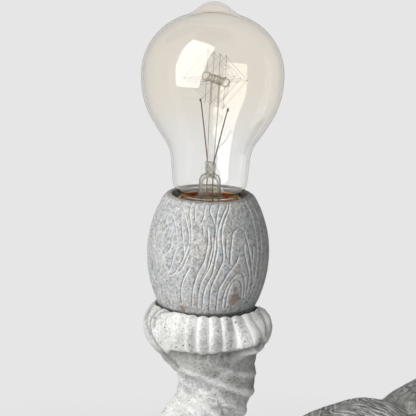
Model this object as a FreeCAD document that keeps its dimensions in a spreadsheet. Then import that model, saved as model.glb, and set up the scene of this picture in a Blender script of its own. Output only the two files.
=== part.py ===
"""A table lamp: a standing elephant whose curled trunk carries a bare bulb in a turned barrel.

Millimetres, +Z up. The elephant faces -X and stands on z = 0. The origin is the middle of the
footprint. The lamp's own axis is vertical, at x = lamp_x, and its pieces are drawn about it with
their zero height at the underside of the barrel.
"""
import FreeCAD, Part
import Sketcher
import math
import os

V = FreeCAD.Vector
document = FreeCAD.newDocument("elephant_lamp")
sheet = document.addObject("Spreadsheet::Sheet", "sizes")
sheet_rows = 0
nodes = []


class Size:
    """A number together with the sheet expression that gives it."""

    def __init__(self, value, text):
        self.value = value
        self.text = text

    def __add__(self, other):
        other = size_of(other)
        return Size(self.value + other.value, f"({self.text} + {other.text})")

    def __sub__(self, other):
        other = size_of(other)
        return Size(self.value - other.value, f"({self.text} - {other.text})")

    def __mul__(self, other):
        other = size_of(other)
        return Size(self.value * other.value, f"({self.text} * {other.text})")

    def __truediv__(self, other):
        other = size_of(other)
        return Size(self.value / other.value, f"({self.text} / {other.text})")

    def __neg__(self):
        return Size(-self.value, f"(0 - {self.text})")

    __radd__ = __add__
    __rmul__ = __mul__


def size_of(number):
    return number if isinstance(number, Size) else Size(float(number), f"({float(number)})")


def cell(alias, number, meaning):
    """Write one driving dimension to the sheet and return it."""
    global sheet_rows
    sheet_rows += 1
    sheet.set(f"A{sheet_rows}", meaning)
    sheet.set(f"B{sheet_rows}", str(number))
    sheet.setAlias(f"B{sheet_rows}", alias)
    return Size(float(number), f"sizes.{alias}")


# Where the lamp stands on the elephant
lamp_x = cell("lamp_x", -101, "lamp axis from the middle of the footprint")
barrel_z = cell("barrel_z", 238, "underside of the barrel above the table")
curl_turn = cell("curl_turn", -30, "angle from +X at which the trunk's curl begins, degrees")

# The elephant
neck_x = cell("neck_x", -2, "plane where head and body castings meet")
body_length = cell("body_length", 139, "neck plane to rump")
back_height = cell("back_height", 198, "highest point of the back")
belly_width = cell("belly_width", 95, "body across the belly")
torso_depth = cell("torso_depth", 112, "back to belly")
head_length = cell("head_length", 70, "neck plane to brow")
head_width = cell("head_width", 70, "across the temples")
head_depth = cell("head_depth", 82, "crown to throat")
foot_radius = cell("foot_radius", 19.5, "foot at the sole")
stance = cell("stance", 23, "middle of a foot from the centre plane")
front_foot_x = cell("front_foot_x", 8, "middle of the front feet")
hind_foot_x = cell("hind_foot_x", 106, "middle of the hind feet")
pad_thickness = cell("pad_thickness", 1.5, "felt under each foot")
ear_thickness = cell("ear_thickness", 4, "ear in the middle")
tusk_radius = cell("tusk_radius", 4.4, "tusk where it leaves the cheek")
fit_gap = cell("fit_gap", 0.1, "slack round a piece let into a socket")

tail_x = cell("tail_x", 141.9, "tail's knuckle, from the origin")
tail_z = cell("tail_z", 149, "height of the tail's pin")
tail_root = cell("tail_root", 129.3, "floor of the tail's socket, from the origin")
tail_pin_radius = cell("tail_pin_radius", 3.4, "tail's pin")

# The hollow in the body
cavity_front = cell("cavity_front", 14, "front wall of the hollow")
cavity_length = cell("cavity_length", 82, "hollow along the body")
cavity_floor = cell("cavity_floor", 100, "floor of the hollow above the table")
cavity_height = cell("cavity_height", 62, "hollow from floor to roof")
cavity_width = cell("cavity_width", 54, "hollow across the body")
cover_seat = cell("cover_seat", 95.5, "height of the face that the belly cover is screwed to")
cover_x = cell("cover_x", 54, "middle of the belly cover")
cover_length = cell("cover_length", 42, "belly cover along the body")
cover_width = cell("cover_width", 31, "belly cover across the body")
cover_thickness = cell("cover_thickness", 2.5, "belly cover plate")
gland_z = cell("gland_z", 118, "height of the cord inlet")
gland_face = cell("gland_face", 125, "flat round the cord inlet, from the origin")
gland_bore = cell("gland_bore", 6.8, "cord inlet bore, across")
gland_thread = cell("gland_thread", 10, "thread of the cord inlet, across")

# The barrel and the holder in it
barrel_height = cell("barrel_height", 47.6, "barrel")
barrel_belly = cell("barrel_belly", 25.6, "barrel radius at its widest")
barrel_foot = cell("barrel_foot", 19.4, "barrel radius at the underside")
barrel_side = cell("barrel_side", 48, "radius of the barrel's bulging side")
barrel_bore = cell("barrel_bore", 18, "radius inside the barrel")
barrel_mouth = cell("barrel_mouth", 15.6, "radius of the barrel's mouth")
floor_thickness = cell("floor_thickness", 3, "disc that closes the barrel")
holder_radius = cell("holder_radius", 17.4, "outside of the lampholder")
holder_bore = cell("holder_bore", 15, "inside of the lampholder")
core_z = cell("core_z", 12.5, "underside of the insulating core")
core_top = cell("core_top", 19.5, "top of the insulating core")
holder_top = cell("holder_top", 44, "top of the lampholder")
nipple_radius = cell("nipple_radius", 5, "threaded tube, outside")
nipple_bore = cell("nipple_bore", 4, "threaded tube, inside")
nipple_drop = cell("nipple_drop", 30, "threaded tube below the barrel")
nipple_top = cell("nipple_top", 9, "top of the threaded tube")
collar_depth = cell("collar_depth", 29, "swelling that joins trunk and curl, below the barrel")
collar_radius = cell("collar_radius", 20.6, "that swelling at its widest")

# The bulb
bulb_radius = cell("bulb_radius", 30, "glass at its widest")
bulb_widest = cell("bulb_widest", 96.7, "height of the widest ring")
bulb_top = cell("bulb_top", 129.7, "tip of the glass")
glass_wall = cell("glass_wall", 0.8, "glass")
cap_radius = cell("cap_radius", 13.1, "screw cap, outside")
cap_wall = cell("cap_wall", 0.3, "screw cap sheet")
cap_top = cell("cap_top", 47.8, "rim of the screw cap")
cap_tip = cell("cap_tip", 21, "end contact of the bulb")
hub_z = cell("hub_z", 95, "height of the glass bar in the bulb")
arm_reach = cell("arm_reach", 10.5, "filament support from the bar's axis")


def at_lamp(item):
    """Put an item that is drawn about the lamp's axis where that axis stands."""
    item.Placement = FreeCAD.Placement(V(lamp_x.value, 0, barrel_z.value), FreeCAD.Rotation())
    item.setExpression("Placement.Base.x", lamp_x.text)
    item.setExpression("Placement.Base.z", barrel_z.text)
    return item


def keep(item, label):
    """Name an item as one of the lamp's pieces."""
    item.Label = label
    nodes.append(item)
    return item


def feature(name, shape):
    item = document.addObject("Part::Feature", name)
    item.Shape = shape
    return item


def boolean(kind, name, base, tool):
    item = document.addObject(f"Part::{kind}", name)
    item.Base = base
    item.Tool = tool
    # Joining the faces of lofted pieces spoils them
    item.Refine = False
    return item


def primitive(kind, name, x=0.0, y=0.0, z=0.0, **lengths):
    """A Part primitive whose lengths and place follow the sheet."""
    item = document.addObject(f"Part::{kind}", name)
    for key, length in lengths.items():
        length = size_of(length)
        setattr(item, key, length.value)
        item.setExpression(key, length.text)
    places = [size_of(place) for place in (x, y, z)]
    item.Placement.Base = V(*[place.value for place in places])
    for axis, place in zip("xyz", places):
        item.setExpression(f"Placement.Base.{axis}", place.text)
    return item


def plane_of(body, role):
    return next(item for item in body.Origin.OriginFeatures if item.Role == role)


class Arc:
    """An outline corner whose next side is an arc; the outline is walked anticlockwise.

    A positive radius swells outwards from the piece and a negative one hollows into it.
    """

    def __init__(self, across, up, radius):
        self.corner = (across, up)
        self.radius = radius


def draw(body, name, role, corners, height=None, circles=()):
    """A sketch of one closed outline, each corner and arc tied to the sheet."""
    sketch = body.newObject("Sketcher::SketchObject", name)
    sketch.AttachmentSupport = [(plane_of(body, role), "")]
    sketch.MapMode = "FlatFace"
    if height is not None:
        height = size_of(height)
        sketch.AttachmentOffset = FreeCAD.Placement(V(0, 0, height.value), FreeCAD.Rotation())
        sketch.setExpression("AttachmentOffset.Base.z", height.text)
    spots = []
    bends = []
    for corner in corners:
        bends.append(size_of(corner.radius) if isinstance(corner, Arc) else None)
        place = corner.corner if isinstance(corner, Arc) else corner
        spots.append((size_of(place[0]), size_of(place[1])))
    ends = []
    for index, (across, up) in enumerate(spots):
        after = spots[(index + 1) % len(spots)]
        start = V(across.value, up.value, 0)
        finish = V(after[0].value, after[1].value, 0)
        if bends[index] is None:
            sketch.addGeometry(Part.LineSegment(start, finish), False)
            ends.append((1, 2))
            continue
        radius = abs(bends[index].value)
        chord = finish - start
        left = V(-chord.y, chord.x, 0).normalize()
        side = -1 if bends[index].value > 0 else 1
        rise = math.sqrt(radius ** 2 - (chord.Length / 2) ** 2)
        centre = (start + finish) * 0.5 - left * (side * rise)
        first, last = (finish, start) if side > 0 else (start, finish)
        angles = [math.atan2(spot.y - centre.y, spot.x - centre.x) for spot in (first, last)]
        circle = Part.Circle(centre, V(0, 0, 1), radius)
        sketch.addGeometry(Part.ArcOfCircle(circle, angles[0], angles[1]), False)
        ends.append((2, 1) if side > 0 else (1, 2))
    rules = []
    count = len(spots)
    for index in range(count):
        before = (index - 1) % count
        joint = (before, ends[before][1], index, ends[index][0])
        rules.append((Sketcher.Constraint("Coincident", *joint), None, None))
    for index, (across, up) in enumerate(spots):
        spot = (index, ends[index][0])
        for kind, size, axis in (("DistanceX", across, -2), ("DistanceY", up, -1)):
            if abs(size.value) < 1e-9:
                rules.append((Sketcher.Constraint("PointOnObject", *spot, axis), None, None))
            else:
                rule = Sketcher.Constraint(kind, -1, 1, *spot, size.value)
                rules.append((rule, f"{kind}{index}", size.text))
        if bends[index] is not None:
            radius = abs(bends[index].value)
            text = bends[index].text if bends[index].value > 0 else f"(0 - {bends[index].text})"
            rules.append((Sketcher.Constraint("Radius", index, radius), f"Bend{index}", text))
    for number, (across, up, radius) in enumerate(circles):
        across, up, radius = size_of(across), size_of(up), size_of(radius)
        ring = count + number
        sketch.addGeometry(Part.Circle(V(across.value, up.value, 0), V(0, 0, 1), radius.value), False)
        rules.append((Sketcher.Constraint("Radius", ring, radius.value), f"Ring{ring}", radius.text))
        for kind, size, axis in (("DistanceX", across, -2), ("DistanceY", up, -1)):
            if abs(size.value) < 1e-9:
                rules.append((Sketcher.Constraint("PointOnObject", ring, 3, axis), None, None))
            else:
                rule = Sketcher.Constraint(kind, -1, 1, ring, 3, size.value)
                rules.append((rule, f"{kind}{ring}", size.text))
    sketch.addConstraint([rule for rule, _, _ in rules])
    for index, (_, title, text) in enumerate(rules):
        if title:
            sketch.renameConstraint(index, title)
            sketch.setExpression(f"Constraints.{title}", text)
    return sketch


def turned(name, corners):
    """A body turned about the vertical axis from (radius, height) corners."""
    body = document.addObject("PartDesign::Body", name)
    sketch = draw(body, f"{name}_outline", "XZ_Plane", corners)
    turn = body.newObject("PartDesign::Revolution", f"{name}_turn")
    turn.Profile = sketch
    turn.ReferenceAxis = (sketch, ["V_Axis"])
    turn.Angle = 360
    body.Tip = turn
    return body


def plate(name, corners, height, thickness, circles=()):
    """A body padded upwards from a flat outline, with any round holes drawn in it."""
    body = document.addObject("PartDesign::Body", name)
    sketch = draw(body, f"{name}_outline", "XY_Plane", corners, height, circles)
    pad = body.newObject("PartDesign::Pad", f"{name}_pad")
    pad.Profile = sketch
    pad.Length = size_of(thickness).value
    pad.setExpression("Length", size_of(thickness).text)
    body.Tip = pad
    return body


def rectangle(length, width, x=0.0, y=0.0):
    length, width, x, y = size_of(length), size_of(width), size_of(x), size_of(y)
    left, right = x - length / 2, x + length / 2
    near, far = y - width / 2, y + width / 2
    return [(left, near), (right, near), (right, far), (left, far)]


def rounded(length, width, corner):
    """A rectangle about the origin with round corners, walked anticlockwise."""
    length, width, corner = size_of(length), size_of(width), size_of(corner)
    right, far = length / 2, width / 2
    inner_right, inner_far = right - corner, far - corner
    return [
        (-inner_right, -far), Arc(inner_right, -far, corner),
        (right, -inner_far), Arc(right, inner_far, corner),
        (inner_right, far), Arc(-inner_right, far, corner),
        (-right, inner_far), Arc(-right, -inner_far, corner),
    ]


def hexagon(across_flats):
    """A hexagon about the origin, one flat on each side along x."""
    flat = size_of(across_flats) / 2
    long_side = flat * (2 / math.sqrt(3))
    short_side = long_side / 2
    return [
        (flat, -short_side), (flat, short_side), (size_of(0), long_side),
        (-flat, short_side), (-flat, -short_side), (size_of(0), -long_side),
    ]


# Lofts and runs


def ring(centre, along, side, half_side, half_other):
    """A smooth closed ring of eight points, like an ellipse square to along."""
    along = V(along).normalize()
    side = V(side) - along * V(side).dot(along)
    side.normalize()
    other = along.cross(side)
    spots = []
    for number in range(8):
        turn = math.radians(45 * number)
        offset = side * (half_side * math.cos(turn)) + other * (half_other * math.sin(turn))
        spots.append(centre + offset)
    curve = Part.BSplineCurve()
    curve.interpolate(spots, True)
    return Part.Wire(curve.toShape())


def swell(spots, radii, side, widths=None):
    """A loft through rings that face along the way between their centres.

    The widths are measured to the given side, and the rings are round where there are none.
    """
    rings = []
    for index, (spot, radius, width) in enumerate(zip(spots, radii, widths or radii)):
        along = spots[min(index + 1, len(spots) - 1)] - spots[max(index - 1, 0)]
        rings.append(ring(spot, along, side, width, radius))
    return Part.makeLoft(rings, True, False)


def along_body(stations, start, length, width, depth):
    """A loft along x through upright rings given as shares of the driving dimensions."""
    rings = []
    for share, level, half_width, half_depth in stations:
        centre = V(start.value + share * length.value, 0, level * back_height.value)
        half_side = half_width * width.value
        rings.append(ring(centre, V(1, 0, 0), V(0, 1, 0), half_side, half_depth * depth.value))
    return Part.makeLoft(rings, True, False)


def rounded_path(corners, radii):
    """Straight runs joined by tangent arcs, one radius for each inner corner."""
    edges = []
    start = corners[0]
    for before, corner, after, radius in zip(corners, corners[1:], corners[2:], radii):
        back = (before - corner).normalize()
        onward = (after - corner).normalize()
        half = back.getAngle(onward) / 2
        reach = radius / math.tan(half)
        middle = corner + (back + onward).normalize() * (radius / math.sin(half) - radius)
        entry = corner + back * reach
        leave = corner + onward * reach
        edges.append(Part.LineSegment(start, entry).toShape())
        edges.append(Part.Arc(entry, middle, leave).toShape())
        start = leave
    edges.append(Part.LineSegment(start, corners[-1]).toShape())
    return Part.Wire(edges)


def flat_lead(path, normal, width, thickness):
    """A rectangular section run along a flat path; width is along the path's normal."""
    edge = path.Edges[0]
    start = edge.valueAt(edge.FirstParameter)
    across = edge.tangentAt(edge.FirstParameter).cross(normal)
    spots = []
    for left, up in ((1, 1), (-1, 1), (-1, -1), (1, -1)):
        spots.append(start + normal * (left * width / 2) + across * (up * thickness / 2))
    return path.makePipe(Part.Face(Part.makePolygon(spots + spots[:1])))


# Body: share of its length, centre height, half width and half depth
TORSO = [
    (0.0, 0.709, 0.36, 0.38), (0.08, 0.707, 0.41, 0.432), (0.237, 0.717, 0.463, 0.464),
    (0.453, 0.717, 0.5, 0.5), (0.669, 0.717, 0.484, 0.473), (0.849, 0.707, 0.4, 0.393),
    (0.957, 0.697, 0.253, 0.268), (1.0, 0.692, 0.105, 0.125),
]


def leg(name, place, thigh):
    """A round leg: splayed foot, slim ankle, and a thigh that domes into the body's flank."""
    foot_x, foot_y = place
    radius = foot_radius
    sole = pad_thickness
    widest = radius * thigh
    dome = back_height * 0.3
    bend = (widest * widest + dome * dome) / (widest * 2)
    body = turned(name, [
        (0, sole), (radius, sole), (radius * 0.95, sole + 7), (radius * 0.87, sole + 24),
        (radius * 0.89, back_height * 0.28), Arc(widest, back_height * 0.45, bend),
        (0, back_height * 0.45 + dome),
    ])
    body.Placement.Base = V(foot_x.value, foot_y.value, 0)
    body.setExpression("Placement.Base.x", foot_x.text)
    body.setExpression("Placement.Base.y", foot_y.text)
    return body


def foot_places():
    """The feet stand in step: front left and hind right are set back, the others forward."""
    step = foot_radius * 0.3
    return [
        (front_foot_x - step, -stance), (front_foot_x + step, stance),
        (hind_foot_x + step, -stance), (hind_foot_x - step, stance),
    ]


def make_body_casting():
    torso = along_body(TORSO, neck_x, body_length, belly_width, torso_depth)
    casting = feature("torso", torso)
    for number, (place, thigh) in enumerate(zip(foot_places(), (1.03, 1.03, 1.16, 1.16))):
        limb = leg(f"leg_{number}", place, thigh)
        casting = boolean("Fuse", f"body_with_leg_{number}", casting, limb)
    casting = boolean("Cut", "hollow_body", casting, make_hollow())
    casting = boolean("Cut", "body_with_channel", casting, feature("body_channel", cable_channel()))
    tools = cover_tools() + gland_tools() + [tail_socket()]
    for number, tool in enumerate(tools):
        casting = boolean("Cut", f"body_step_{number}", casting, tool)
    return keep(casting, "body_casting")


def make_hollow():
    """The hollow has upright walls and a level floor, so that pieces seat on flats."""
    hollow = plate("hollow", rounded(cavity_length, cavity_width, 12), cavity_floor, cavity_height)
    middle = cavity_front + cavity_length / 2
    hollow.Placement.Base = V(middle.value, 0, 0)
    hollow.setExpression("Placement.Base.x", middle.text)
    return hollow


def cable_route(top):
    """Centre line of the flat lead: terminal block, head, trunk, threaded tube."""
    spots = [
        (cover_x.value - 12, cover_seat.value + 8), (cavity_front.value + 19, cover_seat.value + 8),
        (cavity_front.value + 13, 132), (neck_x.value - 48, 132),
    ]
    trunk = [(11, -132), (-21, -124), (-26.5, -96), (-16, -66), (0, -44), (0, top)]
    spots += [(lamp_x.value + x, barrel_z.value + z) for x, z in trunk]
    return [V(x, 0, z) for x, z in spots], [9, 9, 30, 26, 20, 40, 50, 30]


def cable_channel():
    """The channel starts level in the hollow's front wall and ends in the threaded tube's hole."""
    corners, radii = cable_route(1 - nipple_drop.value)
    corners = [V(cavity_front.value + 1, 0, 132)] + corners[3:]
    return flat_lead(rounded_path(corners, radii[2:]), V(0, 1, 0), 7.0, 4.4)


def make_inner_cable():
    corners, radii = cable_route(7)
    lead = flat_lead(rounded_path(corners, radii), V(0, 1, 0), 5.2, 2.4)
    keep(feature("twin_lead", lead), "inner_cable")


def under_cover(item):
    item.Placement.Base = V(cover_x.value, 0, 0)
    item.setExpression("Placement.Base.x", cover_x.text)
    return item


def screw_spots():
    across = cover_length / 2 - 3.6
    return [(across * i, 0) for i in (-1, 1)]


def cover_tools():
    """Recess and window of the belly cover, and its screw holes."""
    depth = torso_depth / 6
    recess = plate("cover_recess", rounded(cover_length + 0.4, cover_width + 0.4, 5.2),
                   cover_seat - depth, depth)
    window = plate("cover_window", rounded(cover_length - 14, cover_width - 9, 3),
                   cover_seat - 1, cavity_floor - cover_seat + 2)
    tools = [under_cover(recess), under_cover(window)]
    for number, (x, y) in enumerate(screw_spots()):
        tools.append(primitive("Cylinder", f"cover_screw_hole_{number}", cover_x + x, y,
                               cover_seat - 1, Radius=1.3, Height=5))
    return tools


def make_belly_cover():
    spots = [(x, y, 1.6) for x, y in screw_spots()]
    cover = plate("cover_plate", rounded(cover_length, cover_width, 5),
                  cover_seat - cover_thickness, cover_thickness, spots)
    keep(under_cover(cover), "belly_cover")
    screws = []
    under_head = cover_seat - cover_thickness
    for number, (x, y) in enumerate(screw_spots()):
        shank = primitive("Cylinder", f"screw_shank_{number}", cover_x + x, y, under_head,
                          Radius=1.2, Height=6)
        head = primitive("Cone", f"screw_head_{number}", cover_x + x, y, under_head - 1.6,
                         Radius1=1.7, Radius2=2.7, Height=1.6)
        screws.append(boolean("Fuse", f"screw_{number}", shank, head))
    keep(compound("screw_group", screws), "belly_screws")


def compound(name, items):
    group = document.addObject("Part::Compound", name)
    group.Links = items
    return group


def lying(item, x, z):
    """Lay a turned or padded piece with its axis along x."""
    item.Placement = FreeCAD.Placement(V(x.value, 0, z.value), FreeCAD.Rotation(V(0, 1, 0), 90))
    item.setExpression("Placement.Base.x", x.text)
    item.setExpression("Placement.Base.z", z.text)
    return item


def gland_tools():
    """The cord inlet: a flat under the tail and a plain bore into the hollow."""
    reach = body_length / 4
    face = primitive("Cylinder", "gland_face_cut", Radius=9, Height=reach)
    bore = primitive("Cylinder", "gland_bore_cut", Radius=gland_thread / 2 + 0.1, Height=reach)
    return [lying(face, gland_face, gland_z), lying(bore, cavity_front + cavity_length - 2, gland_z)]


def make_cord_gland():
    """A flanged bush through the rear wall, held by a nut in the hollow."""
    inner = gland_bore / 2
    outer = gland_thread / 2
    end = cavity_front + cavity_length - gland_face - 5
    bush = turned("gland_bush", [
        (inner, end), (outer, end), (outer, 0), (7.2, 0), (7.2, 1.6), (6.2, 2.6),
        (inner + 0.7, 2.6), (inner, 1.9),
    ])
    keep(lying(bush, gland_face, gland_z), "cord_gland")
    nut = plate("gland_hexagon", hexagon(14), 0, 3, [(0, 0, outer + 0.08)])
    keep(lying(nut, cavity_front + cavity_length - 3, gland_z), "gland_nut")


# Tail: offsets from the knuckle behind the rump, and radius
TAIL = [
    (0, 0, 4.6, 2.4), (0, 0, 1, 4.3), (-0.2, 1.5, -9, 3.8), (-0.8, 6, -24, 3.1),
    (-1.4, 10.5, -40, 2.6), (-1.8, 12.5, -52, 3.8), (-2.2, 13.5, -62, 3.4), (-2.5, 14, -72, 1.2),
]


def tail_pin(name, radius):
    """The tail is let into the rump with a level pin, whose root this cylinder starts at."""
    pin = primitive("Cylinder", name, Radius=radius, Height=tail_x - tail_root)
    return lying(pin, tail_root, tail_z)


def tail_socket():
    return tail_pin("tail_socket", tail_pin_radius + fit_gap)


def make_tail():
    spots = [V(tail_x.value + row[0], row[1], tail_z.value + row[2]) for row in TAIL]
    hanging = feature("tail_loft", swell(spots, [row[3] for row in TAIL], V(0, 1, 0)))
    keep(boolean("Fuse", "tail_and_pin", hanging, tail_pin("tail_pin", tail_pin_radius)), "tail")


def make_foot_pads():
    pads = []
    for number, (x, y) in enumerate(foot_places()):
        pads.append(primitive("Cylinder", f"pad_{number}", x, y, Radius=foot_radius * 0.8,
                              Height=pad_thickness))
    keep(compound("pad_group", pads), "foot_pads")


def make_terminal_block():
    """Two poles; the leads enter from both ends and the screws from above."""
    length, width, height = 24, 15, 12.5
    pole = 3.75
    bore_z = cover_seat + 8
    screw_holes = [(0, side * pole, 1.7) for side in (-1, 1)]
    block = plate("block_moulding", rectangle(length, width), cover_seat, height)
    sketch = draw(block, "lead_bores", "YZ_Plane", [], -length,
                  [(side * pole, bore_z, 1.5) for side in (-1, 1)])
    cut = block.newObject("PartDesign::Pocket", "lead_pockets")
    cut.Profile = sketch
    cut.Length = 2 * length
    cut.Reversed = True
    block.Tip = cut
    sketch = draw(block, "screw_bores", "XY_Plane", [], bore_z + 0.5, screw_holes)
    cut = block.newObject("PartDesign::Pocket", "screw_pockets")
    cut.Profile = sketch
    cut.Length = height
    cut.Reversed = True
    block.Tip = cut
    keep(under_cover(block), "terminal_block")
    screws = []
    for number, (x, y, _) in enumerate(screw_holes):
        screws.append(primitive("Cylinder", f"block_screw_{number}", cover_x + x, y, bore_z + 0.5,
                                Radius=1.6, Height=3.2))
    keep(compound("block_screw_group", screws), "block_screws")


# Head: share of its length, centre height, half width and half depth
HEAD = [
    (0.0, 0.715, 0.48, 0.45), (0.19, 0.728, 0.505, 0.48), (0.36, 0.726, 0.51, 0.495),
    (0.55, 0.718, 0.49, 0.488), (0.71, 0.7, 0.45, 0.465), (0.84, 0.675, 0.388, 0.415),
    (0.935, 0.646, 0.299, 0.329), (1.0, 0.626, 0.179, 0.195),
]


def trunk_stations():
    """The trunk's centre line, depths and widths, from the brow round the crook to the curl."""
    rows = [
        (47, -101, 20.8, 28.5), (31, -117, 21.4, 24.5), (13, -127.5, 21.5, 21.9), (-7, -127.5, 21, 21),
        (-21, -115, 20, 20), (-26, -96, 19.3, 19.3), (-19.5, -77, 18, 18), (-9.5, -61, 16.6, 16.6),
        (0.6, -48, 15.6, 15.6), (4.6, -36, 16, 16), (5.2, -28, 17.2, 17.2), (5.2, -20, 16.6, 16.6),
    ]
    spots = [V(lamp_x.value + x, 0, barrel_z.value + z) for x, z, _, _ in rows]
    return spots, [row[2] for row in rows], [row[3] for row in rows]


def make_head_casting(body):
    spots, radii, widths = trunk_stations()
    forward = (spots[1] - spots[0]).normalize()
    skull = feature("skull", along_body(HEAD, neck_x, -head_length, head_width, head_depth))
    span = back_height.value
    front = Part.makeBox(2 * span, 2 * span, span, V(-span, -span, 0))
    front.Placement = FreeCAD.Placement(spots[0], FreeCAD.Rotation(V(0, 0, 1), forward))
    casting = boolean("Cut", "skull_cut", skull, feature("ahead_of_skull", front))
    casting = boolean("Fuse", "skull_and_jaw", casting, make_jaw(spots, radii, widths))
    for side in (-1, 1):
        casting = boolean("Fuse", f"head_sheath_{side + 1}", casting, tusk_sheath(side))
    casting = boolean("Cut", "head_off_body", casting, body)
    casting = boolean("Cut", "head_with_channel", casting, feature("head_channel", cable_channel()))
    for side in (-1, 1):
        casting = boolean("Cut", f"head_socket_{side + 1}", casting, tusk_socket(side))
    return keep(casting, "head_casting")


def make_jaw(spots, radii, widths):
    """A low jaw that stays behind the neck plane's front and clear of the trunk's root."""
    stretch = FreeCAD.Matrix()
    stretch.scale(head_length.value * 0.42, head_width.value * 0.24, head_depth.value * 0.146)
    jaw = Part.makeSphere(1).transformGeometry(stretch)
    jaw.translate(V((neck_x - head_length * 0.48).value, 0, back_height.value * 0.552))
    root = swell(spots, [radius + 0.4 for radius in radii], V(0, 1, 0),
                 [width + 0.4 for width in widths])
    lip = boolean("Cut", "jaw_cut", feature("jaw", jaw), feature("trunk_root", root))
    ahead = primitive("Box", "ahead_of_neck", neck_x - head_length * 2, -head_width, 0,
                      Length=head_length * 2, Width=head_width * 2, Height=back_height)
    return boolean("Common", "jaw_ahead_of_neck", lip, ahead)


def tusk_frame(side):
    """Root of the tusk's sheath in the cheek, and the way it points."""
    root = V(neck_x.value - 20, side * 21, back_height.value * 0.636)
    return root, V(-20, side * 5.5, -13).normalize()


def tusk_sheath(side):
    root, along = tusk_frame(side)
    return feature(f"sheath_{side + 1}", Part.makeCone(8.5, 6.4, 24, root, along))


def tusk_socket(side):
    root, along = tusk_frame(side)
    hole = Part.makeCylinder((tusk_radius + fit_gap).value, 20, root + along * 14, along)
    return feature(f"socket_{side + 1}", hole)


def make_tusks():
    """Straight in its sheath, then curving forward and up; bend is the rise off the straight."""
    rows = [
        (14, 0, 1.0), (19, 0, 1.0), (24, 0, 1.0), (37, 1.6, 0.92), (49, 5, 0.74), (60, 10.5, 0.42),
    ]
    for side, label in ((-1, "tusk_left"), (1, "tusk_right")):
        root, along = tusk_frame(side)
        spots = [root + along * reach + V(0, 0, bend) for reach, bend, _ in rows]
        rings = []
        for index, (spot, row) in enumerate(zip(spots, rows)):
            facing = along
            if index > 2:
                facing = spots[min(index + 1, len(spots) - 1)] - spots[index - 1]
            radius = row[2] * tusk_radius.value
            rings.append(ring(spot, facing, V(0, 0, 1), radius, radius))
        keep(feature(f"{label}_loft", Part.makeLoft(rings, True, False)), label)


def make_ears(head, body):
    """Each ear is a bent slab within a flap's outline, let into the side of the head."""
    outline = [
        (-18, 166), (-4, 173), (16, 168), (31, 152), (35, 132), (27, 110), (14, 95), (3, 97),
        (-4, 112), (-14, 128), (-21, 148),
    ]
    curve = Part.BSplineCurve()
    curve.interpolate([V(neck_x.value + x, 0, z) for x, z in outline], True)
    flap = Part.Face(Part.Wire(curve.toShape())).extrude(V(0, belly_width.value, 0))
    bend = [(-24, 25), (8, 41), (42, 50)]
    thickness = ear_thickness.value
    inner = [V(neck_x.value + x, y, 0) for x, y in bend]
    outer = [spot + V(-1, thickness, 0) for spot in inner]
    section = Part.Wire([
        Part.Arc(*inner).toShape(), Part.LineSegment(inner[2], outer[2]).toShape(),
        Part.Arc(*reversed(outer)).toShape(), Part.LineSegment(outer[0], inner[0]).toShape(),
    ])
    slab = Part.Face(section).extrude(V(0, 0, back_height.value))
    ear = boolean("Common", "ear_bent", feature("ear_flap", flap), feature("ear_slab", slab))
    other = document.addObject("Part::Mirroring", "ear_mirrored")
    other.Source = ear
    other.Normal = V(0, 1, 0)
    for item, label in ((ear, "ear_right"), (other, "ear_left")):
        item = boolean("Cut", f"{label}_off_head", item, head)
        keep(boolean("Cut", f"{label}_off_body", item, body), label)


def curl_stations():
    """The trunk's tip curls once round the lamp's axis: turn, reach, height and radius."""
    rows = [
        (15, 11.5, -25, 12.2), (52, 13, -20.5, 13.1), (90, 14, -16, 13.3), (130, 14.1, -12.3, 13.1),
        (170, 14.2, -9.5, 12.7), (210, 14.5, -8.6, 12.3), (250, 15.2, -8.5, 11.6),
        (290, 16.2, -8.8, 10.9), (325, 17.2, -9.2, 10.3), (350, 17.9, -9.5, 9.8),
    ]
    spots = []
    for turn, reach, height, _ in rows:
        angle = math.radians(turn + curl_turn.value)
        offset = V(reach * math.cos(angle), reach * math.sin(angle), height)
        spots.append(V(lamp_x.value, 0, barrel_z.value) + offset)
    return spots, [row[3] for row in rows]


def make_trunk_casting():
    spots, radii, widths = trunk_stations()
    column = feature("trunk_column", swell(spots, radii, V(0, 1, 0), widths))
    curl = feature("trunk_curl", swell(*curl_stations(), V(0, 0, 1)))
    casting = boolean("Fuse", "column_and_curl", column, curl)
    throat = 14.2
    low = -collar_depth
    collar = turned("trunk_collar", [
        (0, low), (throat, low), (collar_radius, low + 11), (collar_radius, low + 14),
        (throat, low + 17), (throat, 0), (0, 0),
    ])
    casting = boolean("Fuse", "trunk_and_collar", casting, at_lamp(collar))
    seat = turned("barrel_seat", [
        (0, 0), (barrel_foot + 1.05, 0), (barrel_foot + 5, 9), (barrel_foot + 5, 16), (0, 16),
    ])
    casting = boolean("Cut", "trunk_with_seat", casting, at_lamp(seat))
    channel = feature("trunk_channel", cable_channel())
    casting = boolean("Cut", "trunk_with_channel", casting, channel)
    hole = primitive("Cylinder", "nipple_hole", lamp_x, 0, barrel_z - nipple_drop,
                     Radius=nipple_radius + fit_gap, Height=nipple_drop + 1)
    keep(boolean("Cut", "trunk_with_hole", casting, hole), "trunk_casting")


# Barrel and lampholder, drawn about the lamp's axis
spring_seat = core_z + 2.5
terminal_y = size_of(9.5)
terminal_size = 4


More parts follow.
